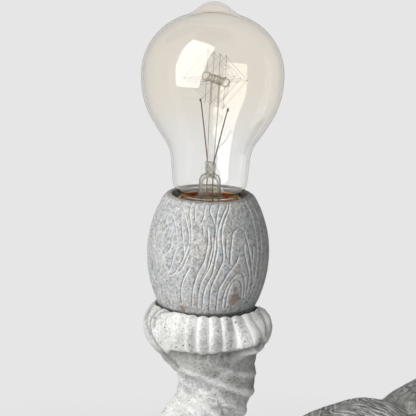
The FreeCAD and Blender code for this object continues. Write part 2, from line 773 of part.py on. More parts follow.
def make_barrel():
    top = barrel_height
    mouth = barrel_mouth
    barrel = turned("barrel", [
        (barrel_bore, 0), (barrel_foot, 0), (barrel_foot + 1.1, 0.7),
        Arc(barrel_foot + 1.5, 1.6, barrel_side), (barrel_belly - 6.1, top - 1.9),
        (barrel_belly - 7.2, top - 0.6), (barrel_belly - 8.8, top), (mouth + 0.5, top),
        (mouth, top - 0.5), (mouth, top - 3.6), (barrel_bore, top - 6.6),
    ])
    keep(at_lamp(barrel), "barrel_shade")
    hole = nipple_radius + fit_gap
    edge = barrel_bore - fit_gap
    disc = turned("barrel_disc", [
        (hole, 0), (edge, 0), (edge, floor_thickness), (hole, floor_thickness),
    ])
    keep(at_lamp(disc), "barrel_floor")


def make_threaded_tube():
    bevel = 0.5
    tube = turned("nipple", [
        (nipple_bore, -nipple_drop), (nipple_radius, -nipple_drop),
        (nipple_radius, nipple_top - bevel), (nipple_radius - bevel, nipple_top),
        (nipple_bore, nipple_top),
    ])
    keep(at_lamp(tube), "threaded_tube")
    nut = plate("holder_hexagon", hexagon(14), floor_thickness + 3.5, 2.3,
                [(0, 0, nipple_radius + fit_gap)])
    keep(at_lamp(nut), "holder_locknut")


def make_holder():
    """Three moulded pieces: a cup on the threaded tube, a core in it, and a skirt above."""
    low = floor_thickness
    shelf = low + 3.5
    split = core_z + 3.5
    hole = nipple_radius + fit_gap
    cup = turned("holder_cup", [
        (hole, low), (holder_radius - 1.2, low), (holder_radius, low + 1.2),
        (holder_radius, split), (holder_bore, split), (holder_bore, core_z),
        (holder_bore - 2, core_z), (holder_bore - 2, shelf), (hole, shelf),
    ])
    keep(at_lamp(cup), "holder_base")
    lip = holder_bore - 0.5
    skirt = turned("holder_sleeve", [
        (holder_bore, split), (holder_radius, split), (holder_radius, holder_top - 3.4),
        (holder_radius - 2, holder_top), (lip, holder_top), (lip, holder_top - 1.6),
        (holder_bore, holder_top - 1.6),
    ])
    keep(at_lamp(skirt), "holder_skirt")
    shell_top = holder_top - 1.8
    outer = cap_radius + 1.2
    inner = cap_radius + 0.7
    shell = turned("threaded_shell", [
        (9, core_top), (outer, core_top), (outer, shell_top), (inner, shell_top),
        (inner, core_top + 0.5), (9, core_top + 0.5),
    ])
    keep(at_lamp(shell), "thread_shell")
    keep(at_lamp(make_core()), "holder_core")


def pocket(body, name, corners, height, depth):
    """Cut upwards from a flat outline at the given height."""
    sketch = draw(body, f"{name}_outline", "XY_Plane", corners, height)
    cut = body.newObject("PartDesign::Pocket", name)
    cut.Profile = sketch
    cut.Length = size_of(depth).value
    cut.setExpression("Length", size_of(depth).text)
    cut.Reversed = True
    body.Tip = cut


def strip_outline(back):
    """The live strip's plan: from behind the spring's seat to the live terminal's side."""
    front = terminal_y - terminal_size / 2
    return rectangle(5, front + back, 0, (front - back) / 2)


def make_core():
    """A disc with a bore for the sprung contact and pockets for the terminals and their strips."""
    seat = spring_seat - 0.5
    core = turned("core", [
        (1.3, core_z), (holder_bore - fit_gap, core_z), (holder_bore - fit_gap, core_top),
        (4.6, core_top), (4.6, seat), (1.3, seat),
    ])
    square = terminal_size
    pocket(core, "live_pocket", rectangle(square, square, 0, terminal_y), core_z, square)
    pocket(core, "neutral_pocket", rectangle(square, square, 0, -terminal_y), core_z, square)
    pocket(core, "strip_slot", strip_outline(size_of(4)), seat, 0.5)
    pocket(core, "post_hole", rectangle(2.4, 2.4, 0, -terminal_y), core_z + square,
           core_top - core_z)
    return core


def make_contacts():
    """Terminals, the strip and post that join them to the two contacts, and the plunger."""
    square = terminal_size
    blocks = []
    for side, name in ((1, "live"), (-1, "neutral")):
        spot = terminal_y * side
        block = plate(f"{name}_block", rectangle(square, square, 0, spot), core_z, square,
                      [(0, spot, 1)])
        blocks.append(at_lamp(block))
    keep(compound("terminal_pair", blocks), "holder_terminals")
    strip = plate("live_bar", strip_outline(size_of(4)), spring_seat - 0.5, 0.5, [(0, 0, 1.5)])
    keep(at_lamp(strip), "centre_strip")
    post = plate("side_post", rectangle(2.4, 2.4, 0, -terminal_y), core_z + square,
                 core_top - core_z - square)
    keep(at_lamp(post), "side_contact")
    under_head = spring_seat + 3.2
    top = cap_tip - 0.05
    plunger = turned("plunger", [
        (0, core_z - 0.5), (1, core_z - 0.5), (1, under_head), (4.2, under_head),
        (4.2, top - 0.7), (3.5, top), (0, top),
    ])
    keep(at_lamp(plunger), "contact_plunger")
    make_spring()
    make_wire_tails()


def make_spring():
    """A short square-wire spring between the live strip and the plunger's head."""
    body = document.addObject("PartDesign::Body", "spring")
    wire = 0.5
    sketch = draw(body, "spring_wire", "XZ_Plane", rectangle(wire, wire, 3, spring_seat + wire / 2))
    coil = body.newObject("PartDesign::AdditiveHelix", "spring_coil")
    coil.Profile = sketch
    coil.ReferenceAxis = (sketch, ["V_Axis"])
    coil.Mode = 0
    coil.Pitch = 1.2
    coil.Height = 2.7
    body.Tip = coil
    keep(at_lamp(body), "plunger_spring")


def make_wire_tails():
    """The split ends of the flat lead, bent out from the threaded tube to the terminals."""
    leads = []
    section = 1.4
    rise = core_z.value - 1.9
    for side in (-1, 1):
        spots = [(1.8, 7), (1.8, rise), (terminal_y.value, rise), (terminal_y.value, core_z.value)]
        corners = [V(lamp_x.value, side * y, barrel_z.value + z) for y, z in spots]
        path = rounded_path(corners, [1.2, 1.2])
        leads.append(feature(f"lead_tail_{side + 1}", flat_lead(path, V(1, 0, 0), section, section)))
    keep(compound("lead_tails", leads), "wire_tails")


# Bulb, drawn about the lamp's axis


def make_glass():
    """Pear-shaped glass with a sealed tip; the inner face follows the outer a wall further in."""
    wide = bulb_widest
    wall = glass_wall
    neck = size_of(11.8)
    shoulder = cap_top - 0.5
    foot = cap_top - 4.3
    glass = turned("glass", [
        (neck, foot), (neck, shoulder), Arc(neck + 0.6, shoulder, 7), (15.5, wide - 44.3),
        Arc(16.3, wide - 35.4, -17.6), (18.7, wide - 27.2), Arc(24.4, wide - 18.6, 33),
        Arc(bulb_radius, wide, 25.4), Arc(9.6, wide + 24.9, -4), Arc(6.6, bulb_top - 4, 7.445),
        (0, bulb_top), (0, bulb_top - 3), (5.2, bulb_top - 5.4),
        Arc(9.2, wide + 24.17, -24.6), Arc(bulb_radius - wall, wide, -32.2),
        (size_of(24.4) - wall, wide - 18.4), (size_of(18.7) - wall, wide - 26.9),
        (size_of(16.3) - wall, wide - 35.4), (size_of(15.5) - wall, wide - 43.8),
        (neck - wall, shoulder + 1), (neck - wall, foot),
    ])
    keep(at_lamp(glass), "glass_envelope")


def make_cap():
    """Screw cap, the cement that holds the glass in it, and the two insulated contacts."""
    inner = cap_radius - cap_wall
    low = cap_tip + 3.5
    cap = turned("cap", [
        (6, low), (9.6, low), (cap_radius, low + 2.7), (cap_radius, cap_top - 1.4),
        (cap_radius + 0.6, cap_top - 0.9), (cap_radius + 0.6, cap_top), (inner + 0.5, cap_top),
        (inner, cap_top - 0.8), (inner, low + 2.9), (9.5, low + cap_wall), (6, low + cap_wall),
    ])
    keep(at_lamp(cap), "cap_shell")
    slack = 0.05
    cement = turned("cement", [
        (11.8 + slack, cap_top - 6), (inner - slack, cap_top - 6),
        (inner - slack, cap_top - 0.8), (inner - 0.5, cap_top - 0.5), (11.8 + slack, cap_top - 0.5),
    ])
    keep(at_lamp(cement), "cap_cement")
    insulator = turned("insulator", [(0, cap_tip + 0.9), (6, cap_tip + 0.9), (9.4, low), (0, low)])
    keep(at_lamp(insulator), "cap_insulator")
    tip = turned("tip", [
        (0, cap_tip), (4.4, cap_tip), (5, cap_tip + 0.5), (5, cap_tip + 0.9),
        (0, cap_tip + 0.9),
    ])
    keep(at_lamp(tip), "tip_contact")


def lead_path(side):
    """A stiff wire: up beside the axis through the glass press, then leaning out to the filament."""
    spots = [(2.4, cap_tip.value + 4), (2.4, hub_z.value - 32), (11.5, hub_z.value - 10)]
    return [V(lamp_x.value, side * y, barrel_z.value + z) for y, z in spots]


def support_places():
    return [-7.5, -2.5, 2.5, 7.5]


def make_mount():
    """Glass stem with its cross bar, the supports in the bar, and the two lead wires."""
    foot = cap_top - 4.3
    press_z = hub_z - 38.5
    flare = turned("flare", [
        (8.6, foot - 0.8), (11.8, foot - 0.8), (11.8, foot), (9.4, foot), (4.2, press_z - 2),
        (4.2, press_z + 0.5), (0, press_z + 0.5), (0, press_z - 1.5), (3.2, press_z - 2),
    ])
    press = primitive("Box", "press", lamp_x - 1.2, -3.8, barrel_z + press_z, Length=2.4, Width=7.6,
                      Height=6)
    rod = primitive("Cylinder", "rod", lamp_x, 0, barrel_z + press_z + 5, Radius=1.8,
                    Height=hub_z - press_z - 5)
    bar = primitive("Cylinder", "bar", lamp_x, 8.5, barrel_z + hub_z, Radius=1.6, Height=17)
    bar.Placement.Rotation = FreeCAD.Rotation(V(1, 0, 0), 90)
    stem = at_lamp(flare)
    for item in (press, rod, bar):
        stem = boolean("Fuse", f"stem_{item.Name}", stem, item)
    crosses = compound("support_crosses", [make_cross(y) for y in support_places()])
    wires = []
    for side in (-1, 1):
        shape = flat_lead(rounded_path(lead_path(side), [4]), V(1, 0, 0), 0.5, 0.5)
        wires.append(feature(f"lead_wire_{side + 1}", shape))
    wires = compound("lead_wire_pair", wires)
    stem = boolean("Cut", "stem_round_supports", stem, crosses)
    stem = boolean("Cut", "stem_round_wires", stem, wires)
    keep(stem, "glass_stem")
    keep(crosses, "filament_supports")
    keep(wires, "lead_wires")


def make_cross(y):
    """Four fine arms, square to the glass bar."""
    wire = 0.3
    name = f"cross_{support_places().index(y)}"
    level = primitive("Box", f"{name}_level", lamp_x - arm_reach, y - wire / 2,
                      barrel_z + hub_z - wire / 2, Length=arm_reach * 2, Width=wire, Height=wire)
    upright = primitive("Box", f"{name}_upright", lamp_x - wire / 2, y - wire / 2,
                        barrel_z + hub_z - arm_reach, Length=wire, Width=wire, Height=arm_reach * 2)
    return boolean("Fuse", name, level, upright)


def make_filament():
    """The filament winds round the ends of the supports, four to a turn, from lead to lead."""
    wire = 0.2
    reach = arm_reach.value + 1.5 * wire
    centre = V(lamp_x.value, 0, barrel_z.value + hub_z.value)
    spots = [lead_path(-1)[-1] + V(0, 0, wire)]
    for index in range(4 * len(support_places()) - 1):
        turn = math.radians(180 - 90 * (index % 4))
        offset = V(reach * math.cos(turn), support_places()[index // 4], reach * math.sin(turn))
        spots.append(centre + offset)
    spots.append(lead_path(1)[-1] + V(0, 0, wire))
    path = Part.makePolygon(spots)
    start = spots[0]
    along = (spots[1] - start).normalize()
    side = along.cross(V(0, 0, 1)).normalize()
    other = along.cross(side)
    half = wire / 2
    corners = [start + side * (half * i) + other * (half * j)
               for i, j in ((1, 1), (-1, 1), (-1, -1), (1, -1))]
    section = Part.makePolygon(corners + corners[:1])
    keep(feature("filament_wire", path.makePipeShell([section], True, False, 1)), "filament")


def main():
    body = make_body_casting()
    head = make_head_casting(body)
    make_trunk_casting()
    make_ears(head, body)
    make_tusks()
    make_tail()
    make_foot_pads()
    make_belly_cover()
    make_terminal_block()
    make_inner_cable()
    make_cord_gland()
    make_barrel()
    make_threaded_tube()
    make_holder()
    make_contacts()
    make_glass()
    make_cap()
    make_mount()
    make_filament()
    document.recompute()
    for item in document.Objects:
        if "Invalid" in item.State or "Error" in item.State:
            raise RuntimeError(f"{item.Name} did not build: {item.State}")
    os.makedirs("parts", exist_ok=True)
    for item in nodes:
        shape = item.Shape
        if shape.isNull() or not shape.isValid() or not shape.Solids:
            raise RuntimeError(f"{item.Label} has no sound solid")
        shape.exportStep(f"parts/{item.Label}.step")
        print(item.Label, len(shape.Solids), round(shape.Volume, 1))


main()
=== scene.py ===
"""The finish of the elephant table lamp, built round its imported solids."""
import bpy
import bmesh
import math
import numpy as np
from mathutils import Matrix, Vector


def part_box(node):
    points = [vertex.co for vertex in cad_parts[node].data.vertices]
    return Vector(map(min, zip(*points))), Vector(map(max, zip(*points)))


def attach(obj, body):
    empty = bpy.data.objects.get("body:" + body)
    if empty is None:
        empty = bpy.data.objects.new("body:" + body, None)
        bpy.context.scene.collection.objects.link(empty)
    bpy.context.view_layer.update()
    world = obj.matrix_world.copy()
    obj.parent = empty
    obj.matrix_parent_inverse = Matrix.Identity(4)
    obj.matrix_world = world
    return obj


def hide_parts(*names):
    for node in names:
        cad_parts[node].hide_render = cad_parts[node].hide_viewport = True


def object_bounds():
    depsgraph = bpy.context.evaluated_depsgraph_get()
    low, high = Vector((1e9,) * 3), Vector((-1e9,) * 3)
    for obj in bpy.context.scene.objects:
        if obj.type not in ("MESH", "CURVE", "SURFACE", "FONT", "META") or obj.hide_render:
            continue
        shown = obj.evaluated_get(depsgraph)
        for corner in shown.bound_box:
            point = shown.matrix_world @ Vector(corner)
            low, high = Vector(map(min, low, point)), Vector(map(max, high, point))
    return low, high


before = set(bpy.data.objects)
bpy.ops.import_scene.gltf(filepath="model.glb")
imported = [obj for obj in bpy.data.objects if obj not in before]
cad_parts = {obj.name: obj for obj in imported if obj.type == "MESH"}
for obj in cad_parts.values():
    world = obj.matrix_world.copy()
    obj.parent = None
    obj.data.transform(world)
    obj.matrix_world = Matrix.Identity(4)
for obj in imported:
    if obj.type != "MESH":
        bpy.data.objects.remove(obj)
cad_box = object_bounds()
MM = 0.001
FRAME_PIXELS = 416

barrel_low, barrel_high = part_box("barrel_shade")
LAMP_X = (barrel_low[0] + barrel_high[0]) / 2
BARREL_FOOT = barrel_low[2]
BARREL_TOP = barrel_high[2] - barrel_low[2]
LAMP = np.array([LAMP_X, 0, BARREL_FOOT]) / MM

# The side from which the lamp is looked at, and how far away and how high the eye is
FRONT_TURN = math.radians(-30)
EYE_DISTANCE = 1.1
EYE_HEIGHT = 0.5315
AIM_HEIGHT = 47.6
ACROSS = np.array([math.cos(FRONT_TURN), math.sin(FRONT_TURN), 0])
FORWARD = np.array([math.sin(FRONT_TURN), -math.cos(FRONT_TURN), 0])


def put_in(name, data):
    """An object in the scene that holds this data."""
    item = bpy.data.objects.new(name, data)
    bpy.context.scene.collection.objects.link(item)
    return item


def place_camera():
    """A long lens, a little above the lamp, that looks at it from the elephant's left and from ahead."""
    focal_pixels = 2712
    lean = math.radians(1.5)
    rim_pixel = (209.6, 193.4)
    aim = Vector((LAMP_X, 0, BARREL_FOOT + AIM_HEIGHT * MM))
    eye = Vector((LAMP_X + EYE_DISTANCE * FORWARD[0], EYE_DISTANCE * FORWARD[1], EYE_HEIGHT))
    lens = bpy.data.cameras.new("camera")
    lens.sensor_width = 36
    lens.lens = focal_pixels / FRAME_PIXELS * lens.sensor_width
    lens.shift_x = -(rim_pixel[0] - FRAME_PIXELS / 2) / FRAME_PIXELS
    lens.shift_y = (rim_pixel[1] - FRAME_PIXELS / 2) / FRAME_PIXELS
    camera = put_in("camera", lens)
    look = (aim - eye).to_track_quat("-Z", "Y").to_matrix().to_4x4()
    camera.matrix_world = Matrix.Translation(eye) @ look @ Matrix.Rotation(lean, 4, "Z")
    bpy.context.scene.camera = camera


# Numbers


def ramp(value, low, high):
    """0 below low, 1 above high, and smooth between them."""
    share = np.clip((value - low) / (high - low), 0, 1)
    return share * share * (3 - 2 * share)


def noise(places, size, seed):
    """Smooth noise from -1 to 1 whose bumps are about this size in millimetres."""
    places = np.asarray(places) / size
    low = np.floor(places).astype(np.int64)
    part = places - low
    part = part * part * (3 - 2 * part)
    lattice = np.random.default_rng(seed).uniform(-1, 1, 4096)
    total = np.zeros(len(places))
    for corner in np.ndindex(2, 2, 2):
        spot = low + np.array(corner)
        key = (spot[:, 0] * 73856093) ^ (spot[:, 1] * 19349663) ^ (spot[:, 2] * 83492791)
        weight = np.prod(np.where(corner, part, 1 - part), axis=1)
        total += weight * lattice[key & 4095]
    return total


def smooth_line(spots, steps=5):
    """More points, on a smooth curve through these."""
    spots = np.array(spots, float)
    ends = np.vstack([2 * spots[0] - spots[1], spots, 2 * spots[-1] - spots[-2]])
    curve = []
    for before, start, end, after in zip(ends, ends[1:], ends[2:], ends[3:]):
        for t in np.linspace(0, 1, steps, endpoint=False):
            square = (2 * before - 5 * start + 4 * end - after) * t ** 2
            cube = (3 * start - before - 3 * end + after) * t ** 3
            curve.append(0.5 * (2 * start + (end - before) * t + square + cube))
    return np.array(curve + [spots[-1]])


def cut_along(lines, places, width):
    """How deep a tool of this width cuts at each place, from 0 to 1, when it follows the lines."""
    cut = np.zeros(len(places))
    for line in lines:
        line = smooth_line(line)
        near = np.all((places > line.min(0) - 4 * width) & (places < line.max(0) + 4 * width), axis=1)
        here = places[near]
        gap = np.full(len(here), np.inf)
        for start, end in zip(line, line[1:]):
            along = end - start
            share = np.clip((here - start) @ along / (along @ along), 0, 1)
            gap = np.minimum(gap, np.linalg.norm(here - start - share[:, None] * along, axis=1))
        cut[near] = np.maximum(cut[near], np.exp(-(gap / width) ** 2))
    return cut


# Pieces


def new_piece(name, mesh, body, material):
    """Adds a mesh as a piece that rides on a body and its finish."""
    piece = put_in(name, mesh)
    mesh.shade_smooth()
    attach(piece, body)
    mesh.materials.append(material)
    return piece


def mesh_of(name, spots, faces):
    """A mesh from points in millimetres and faces, with its faces turned outward."""
    mesh = bpy.data.meshes.new(name)
    mesh.from_pydata((np.asarray(spots) * MM).tolist(), [], faces)
    work = bmesh.new()
    work.from_mesh(mesh)
    bmesh.ops.recalc_face_normals(work, faces=work.faces)
    work.to_mesh(mesh)
    work.free()
    return mesh


def joined_copy(name, nodes):
    """One mesh that holds a copy of each of these nodes."""
    spots = []
    faces = []
    first = 0
    for node in nodes:
        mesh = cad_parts[node].data
        spots += [tuple(vertex.co) for vertex in mesh.vertices]
        faces += [tuple(first + corner for corner in face.vertices) for face in mesh.polygons]
        first += len(mesh.vertices)
    mesh = bpy.data.meshes.new(name)
    mesh.from_pydata(spots, [], faces)
    return mesh


def bow(start, end, radius, steps):
    """Points of an arc without its end; it bulges away from the axis when the radius is positive."""
    start = np.array(start, float)
    chord = np.array(end) - start
    half = np.linalg.norm(chord) / 2
    outward = np.array([chord[1], -chord[0]]) / (2 * half)
    inward = math.copysign(math.sqrt(radius ** 2 - half ** 2), radius)
    centre = start + chord / 2 - inward * outward
    swing = math.copysign(2 * math.asin(half / abs(radius)), radius)
    points = []
    for step in range(steps):
        turn = swing * step / steps
        spin = np.array([[math.cos(turn), -math.sin(turn)], [math.sin(turn), math.cos(turn)]])
        points.append(tuple(centre + spin @ (start - centre)))
    return points


def turned(name, profile, steps, closed=True, place=None):
    """A mesh turned about the lamp's axis, or where place puts it; a radius of 0 is one point."""
    spots = []
    rings = []
    angles = np.linspace(0, 2 * math.pi, steps, endpoint=False)
    for radius, height in profile:
        count = 1 if radius == 0 else steps
        rings.append([len(spots) + step for step in range(count)])
        spots += [(radius * math.cos(a), radius * math.sin(a), height) for a in angles[:count]]
    faces = []
    for low, high in zip(rings, rings[1:] + (rings[:1] if closed else [])):
        for step in range(steps):
            after = (step + 1) % steps
            places = ((low, step), (low, after), (high, after), (high, step))
            corners = [ring[place % len(ring)] for ring, place in places]
            corners = list(dict.fromkeys(corners))
            if len(corners) > 2:
                faces.append(corners)
    spots = np.array(spots)
    return mesh_of(name, spots + LAMP if place is None else place(spots), faces)


def joined(name, meshes):
    """One mesh made of these, which are used up."""
    work = bmesh.new()
    for mesh in meshes:
        work.from_mesh(mesh)
        bpy.data.meshes.remove(mesh)
    whole = bpy.data.meshes.new(name)
    work.to_mesh(whole)
    work.free()
    return whole


def wires(name, lines, radius):
    """Round wires bent along lines of points in millimetres."""
    curve = bpy.data.curves.new(name, "CURVE")
    curve.dimensions = "3D"
    curve.bevel_depth = radius * MM
    curve.bevel_resolution = 2
    curve.use_fill_caps = True
    for line in lines:
        spline = curve.splines.new("POLY")
        spline.points.add(len(line) - 1)
        for point, spot in zip(spline.points, line):
            point.co = (*(np.array(spot) * MM), 1)
    draft = put_in(name, curve)
    mesh = bpy.data.meshes.new_from_object(draft.evaluated_get(bpy.context.evaluated_depsgraph_get()))
    bpy.data.objects.remove(draft)
    return mesh


def spots_of(mesh, kind="co"):
    """The vertices' places in millimetres, or their normals."""
    values = np.empty(len(mesh.vertices) * 3)
    mesh.vertices.foreach_get(kind, values)
    return values.reshape(-1, 3) / (MM if kind == "co" else 1)


def move_spots(mesh, spots):
    """Puts the vertices at these places in millimetres."""
    mesh.vertices.foreach_set("co", (spots * MM).ravel())
    mesh.update()


def round_lamp(spots):
    """How far each place is from the lamp's axis, its turn from the front in degrees, and its height."""
    x, y, z = (spots - LAMP).T
    turn = np.degrees(np.arctan2((spots - LAMP) @ ACROSS, (spots - LAMP) @ FORWARD))
    return np.hypot(x, y), turn, z


def tell(mesh, name, values):
    """Keeps a number, or three, at each vertex for the material to read."""
    kind, field = ("FLOAT", "value") if values.ndim == 1 else ("FLOAT_VECTOR", "vector")
    mesh.attributes.new(name, kind, "POINT").data.foreach_set(field, values.astype(np.float32).ravel())


# Materials

# Sizes of patterns in millimetres; the grit of the stone powder is drawn coarser than it is, so that it shows
GRIT = 1.1
PIT_CELL = 2.6
SKIN_CELL = 6.5


def linear(code):
    """A colour written as sRGB hex, in linear light."""
    parts = [int(code[place:place + 2], 16) / 255 for place in (1, 3, 5)]
    return tuple(p / 12.92 if p <= 0.04045 else ((p + 0.055) / 1.055) ** 2.4 for p in parts) + (1,)


def per_metre(size):
    """The scale of a pattern whose cells are this many millimetres."""
    return 1 / (size * MM)


def add(tree, kind, inputs=None, **settings):
    """Adds a node; a socket, or a node for its first output, is linked, and any other input is set.

    A colour is given as sRGB hex.
    """
    node = tree.nodes.new("ShaderNode" + kind)
    for name, value in settings.items():
        setattr(node, name, value)
    for name, value in (inputs or {}).items():
        if isinstance(value, bpy.types.Node):
            value = value.outputs[0]
        if isinstance(value, str):
            value = linear(value)
        if isinstance(value, bpy.types.NodeSocket):
            tree.links.new(value, node.inputs[name])
        else:
            node.inputs[name].default_value = value
    return node


def new_material(name):
    """A material with an empty tree, and the place in it that patterns are measured from."""
    material = bpy.data.materials.new(name)
    material.use_nodes = True
    tree = material.node_tree
    tree.nodes.clear()
    place = add(tree, "TexCoord").outputs["Object"]
    return material, tree, place


def washed_casting():
    """Cast resin and stone powder, painted grey, washed with chalk white and rubbed back.

    The eye sees a dry matt skin: chalky where the wash stayed, grey where it was rubbed off, with painted
    shade in the hollows and a painted shadow at the barrel's seat, crossed by fine cracks and pricked with
    pits.
    """
    material, tree, place = new_material("washed_casting")
    chalk, hollow, wrinkled, crazed = (
        add(tree, "Attribute", attribute_name=name).outputs["Fac"]
        for name in ("chalk", "hollow", "wrinkled", "crazed")
    )
    hide = add(tree, "Attribute", attribute_name="hide").outputs["Vector"]

    # Strokes cut in the hide: the wash stays in the pale ones, and beside each lies a dark strip of painted
    # shade
    strokes = add(tree, "TexNoise", {"Vector": hide, "Scale": 1.0, "Detail": 1.5, "Roughness": 0.4})
    pale_edge = add(tree, "MapRange", {"Value": strokes, 1: 0.53, 2: 0.62})
    stroke = add(tree, "Math", {0: pale_edge, 1: wrinkled}, operation="MULTIPLY")
    dark_edge = add(tree, "MapRange", {"Value": strokes, 1: 0.47, 2: 0.36, 4: 0.7})
    painted_stroke_shade = add(tree, "Math", {0: dark_edge, 1: wrinkled}, operation="MULTIPLY")

    # Cracks between cells of skin, swayed so that none is straight
    bent = add(tree, "TexNoise", {"Vector": place, "Scale": per_metre(8), "Detail": 2})
    sway = (9 * MM,) * 3
    swayed = add(tree, "VectorMath", {0: bent.outputs["Color"], 1: sway, 2: place}, operation="MULTIPLY_ADD")
    cells = add(tree, "TexVoronoi", {"Vector": swayed, "Scale": per_metre(SKIN_CELL)},
                feature="DISTANCE_TO_EDGE")
    crack_edge = add(tree, "MapRange", {"Value": cells, 1: 0.02, 2: 0.11, 3: 1.0, 4: 0.0})
    crack = add(tree, "Math", {0: crack_edge, 1: crazed}, operation="MULTIPLY")

    # Pits, in about half of their cells
    pits = add(tree, "TexVoronoi", {"Vector": place, "Scale": per_metre(PIT_CELL)})
    pit_edge = add(tree, "MapRange", {"Value": pits, 1: 0.08, 2: 0.17, 3: 1.0, 4: 0.0})
    pit_few = add(tree, "Math", {0: pits.outputs["Color"], 1: 0.55}, operation="GREATER_THAN")
    pit = add(tree, "Math", {0: pit_edge, 1: pit_few}, operation="MULTIPLY")

    # The wash, broken up by patches and by the grit
    patches = add(tree, "TexNoise", {"Vector": place, "Scale": per_metre(9), "Detail": 5, "Roughness": 0.62})
    speckle = add(tree, "TexNoise", {
        "Vector": place, "Scale": per_metre(GRIT), "Detail": 4, "Roughness": 0.75,
    })
    wash = chalk
    for texture, strength in ((patches, 1.35), (speckle, 2.1)):
        lift = add(tree, "Math", {0: texture, 1: 0.5}, operation="SUBTRACT")
        wash = add(tree, "Math", {0: lift, 1: strength, 2: wash}, operation="MULTIPLY_ADD")
    wash = add(tree, "Math", {0: stroke, 1: wash}, operation="ADD", use_clamp=True)

    tint = add(tree, "TexNoise", {"Vector": place, "Scale": per_metre(14), "Detail": 3})
    grey, white = (
        add(tree, "Mix", {"Factor": tint, 6: low, 7: high}, data_type="RGBA")
        for low, high in (("#86847D", "#A2A3A1"), ("#E6E8EA", "#E2E1DA"))
    )
    wash_and_painted_light = add(tree, "Mix", {"Factor": wash, 6: grey.outputs[2], 7: white.outputs[2]}, data_type="RGBA")
    lines = add(tree, "Math", {0: crack, 1: 0.7, 2: painted_stroke_shade}, operation="MULTIPLY_ADD", use_clamp=True)
    freckles = add(tree, "MapRange", {"Value": speckle, 1: 0.4, 2: 0.32, 4: 0.42})
    gap = add(tree, "MapRange", {"Value": hollow, 1: 1.0, 2: 2.0})
    colour = wash_and_painted_light.outputs[2]
    # hollow is painted shade in the hollows, folds and under the curl; gap is its darkest part, the painted
    # shadow line at the barrel's seat; lines carries the cracks and the painted stroke shade
    coats = [(lines, "#4C4A46"), (freckles, "#66635B"), (hollow, "#6A6965"), (gap, "#24221E"),
             (pit, "#57544C")]
    for share, code in coats:
        layer = add(tree, "Mix", {"Factor": share, 6: colour, 7: code}, data_type="RGBA")
        colour = layer.outputs[2]

    relief = speckle
    for mark, lift in ((pit, -1.4), (stroke, -1.2), (crack, -1.3)):
        relief = add(tree, "Math", {0: mark, 1: lift, 2: relief}, operation="MULTIPLY_ADD")
    bump = add(tree, "Bump", {"Strength": 0.7, "Distance": 0.35 * MM, "Height": relief})
    shader = add(tree, "BsdfPrincipled", {
        "Base Color": colour, "Roughness": 0.88, "Specular IOR Level": 0.35, "Normal": bump,
    })
    add(tree, "OutputMaterial", {"Surface": shader})
    return material


def carved_barrel():
    """Cast resin with the grain of weathered oak cut in it, stained blue grey and washed white.

    The wash stays in the cuts as fine pale lines, with painted light and shade on their walls; between them
    the colour is speckled, with rusty spots.
    """
    material, tree, place = new_material("carved_barrel")
    chalk, shade, stain = (
        add(tree, "Attribute", attribute_name=name).outputs["Fac"] for name in ("chalk", "shade", "stain")
    )
    along_grain = add(tree, "Mapping", {"Vector": place, "Scale": (1, 1, 0.22)})
    speckle, fibre, cloud, rust = (
        add(tree, "TexNoise", {
            "Vector": spot, "Scale": per_metre(size), "Detail": detail, "Roughness": roughness,
        })
        for spot, size, detail, roughness in (
            (place, GRIT, 3, 0.65), (along_grain, 1.3, 3, 0.6), (place, 7, 4, 0.6), (place, 2.1, 2, 0.5),
        )
    )
    grain = add(tree, "Math", {0: fibre, 1: 0.5, 2: speckle}, operation="MULTIPLY_ADD")
    tone = add(tree, "MapRange", {"Value": grain, 1: 0.55, 2: 0.9})
    blue, beige = (
        add(tree, "Mix", {"Factor": tone, 6: low, 7: high}, data_type="RGBA")
        for low, high in (("#7D8083", "#C6C8C9"), ("#8A867E", "#CFCBC3"))
    )
    warmth = add(tree, "MapRange", {"Value": cloud, 1: 0.42, 2: 0.8})
    ground = add(tree, "Mix", {"Factor": warmth, 6: blue.outputs[2], 7: beige.outputs[2]}, data_type="RGBA")
    rusty = add(tree, "MapRange", {"Value": rust, 1: 0.62, 2: 0.78, 4: 0.5})
    rust_share = add(tree, "Math", {0: rusty, 1: stain}, operation="MAXIMUM")
    colour = ground.outputs[2]
    # chalk is the wash, laid as painted light on the lit wall of each cut; shade is painted shade
    for share, code in ((rust_share, "#85705F"), (chalk, "#E5E6E5"), (shade, "#4A4743")):
        layer = add(tree, "Mix", {"Factor": share, 6: colour, 7: code}, data_type="RGBA")
        colour = layer.outputs[2]
    bump = add(tree, "Bump", {"Strength": 0.6, "Distance": 0.3 * MM, "Height": grain})
    shader = add(tree, "BsdfPrincipled", {
        "Base Color": colour, "Roughness": 0.82, "Specular IOR Level": 0.4, "Normal": bump,
    })
    add(tree, "OutputMaterial", {"Surface": shader})
    return material


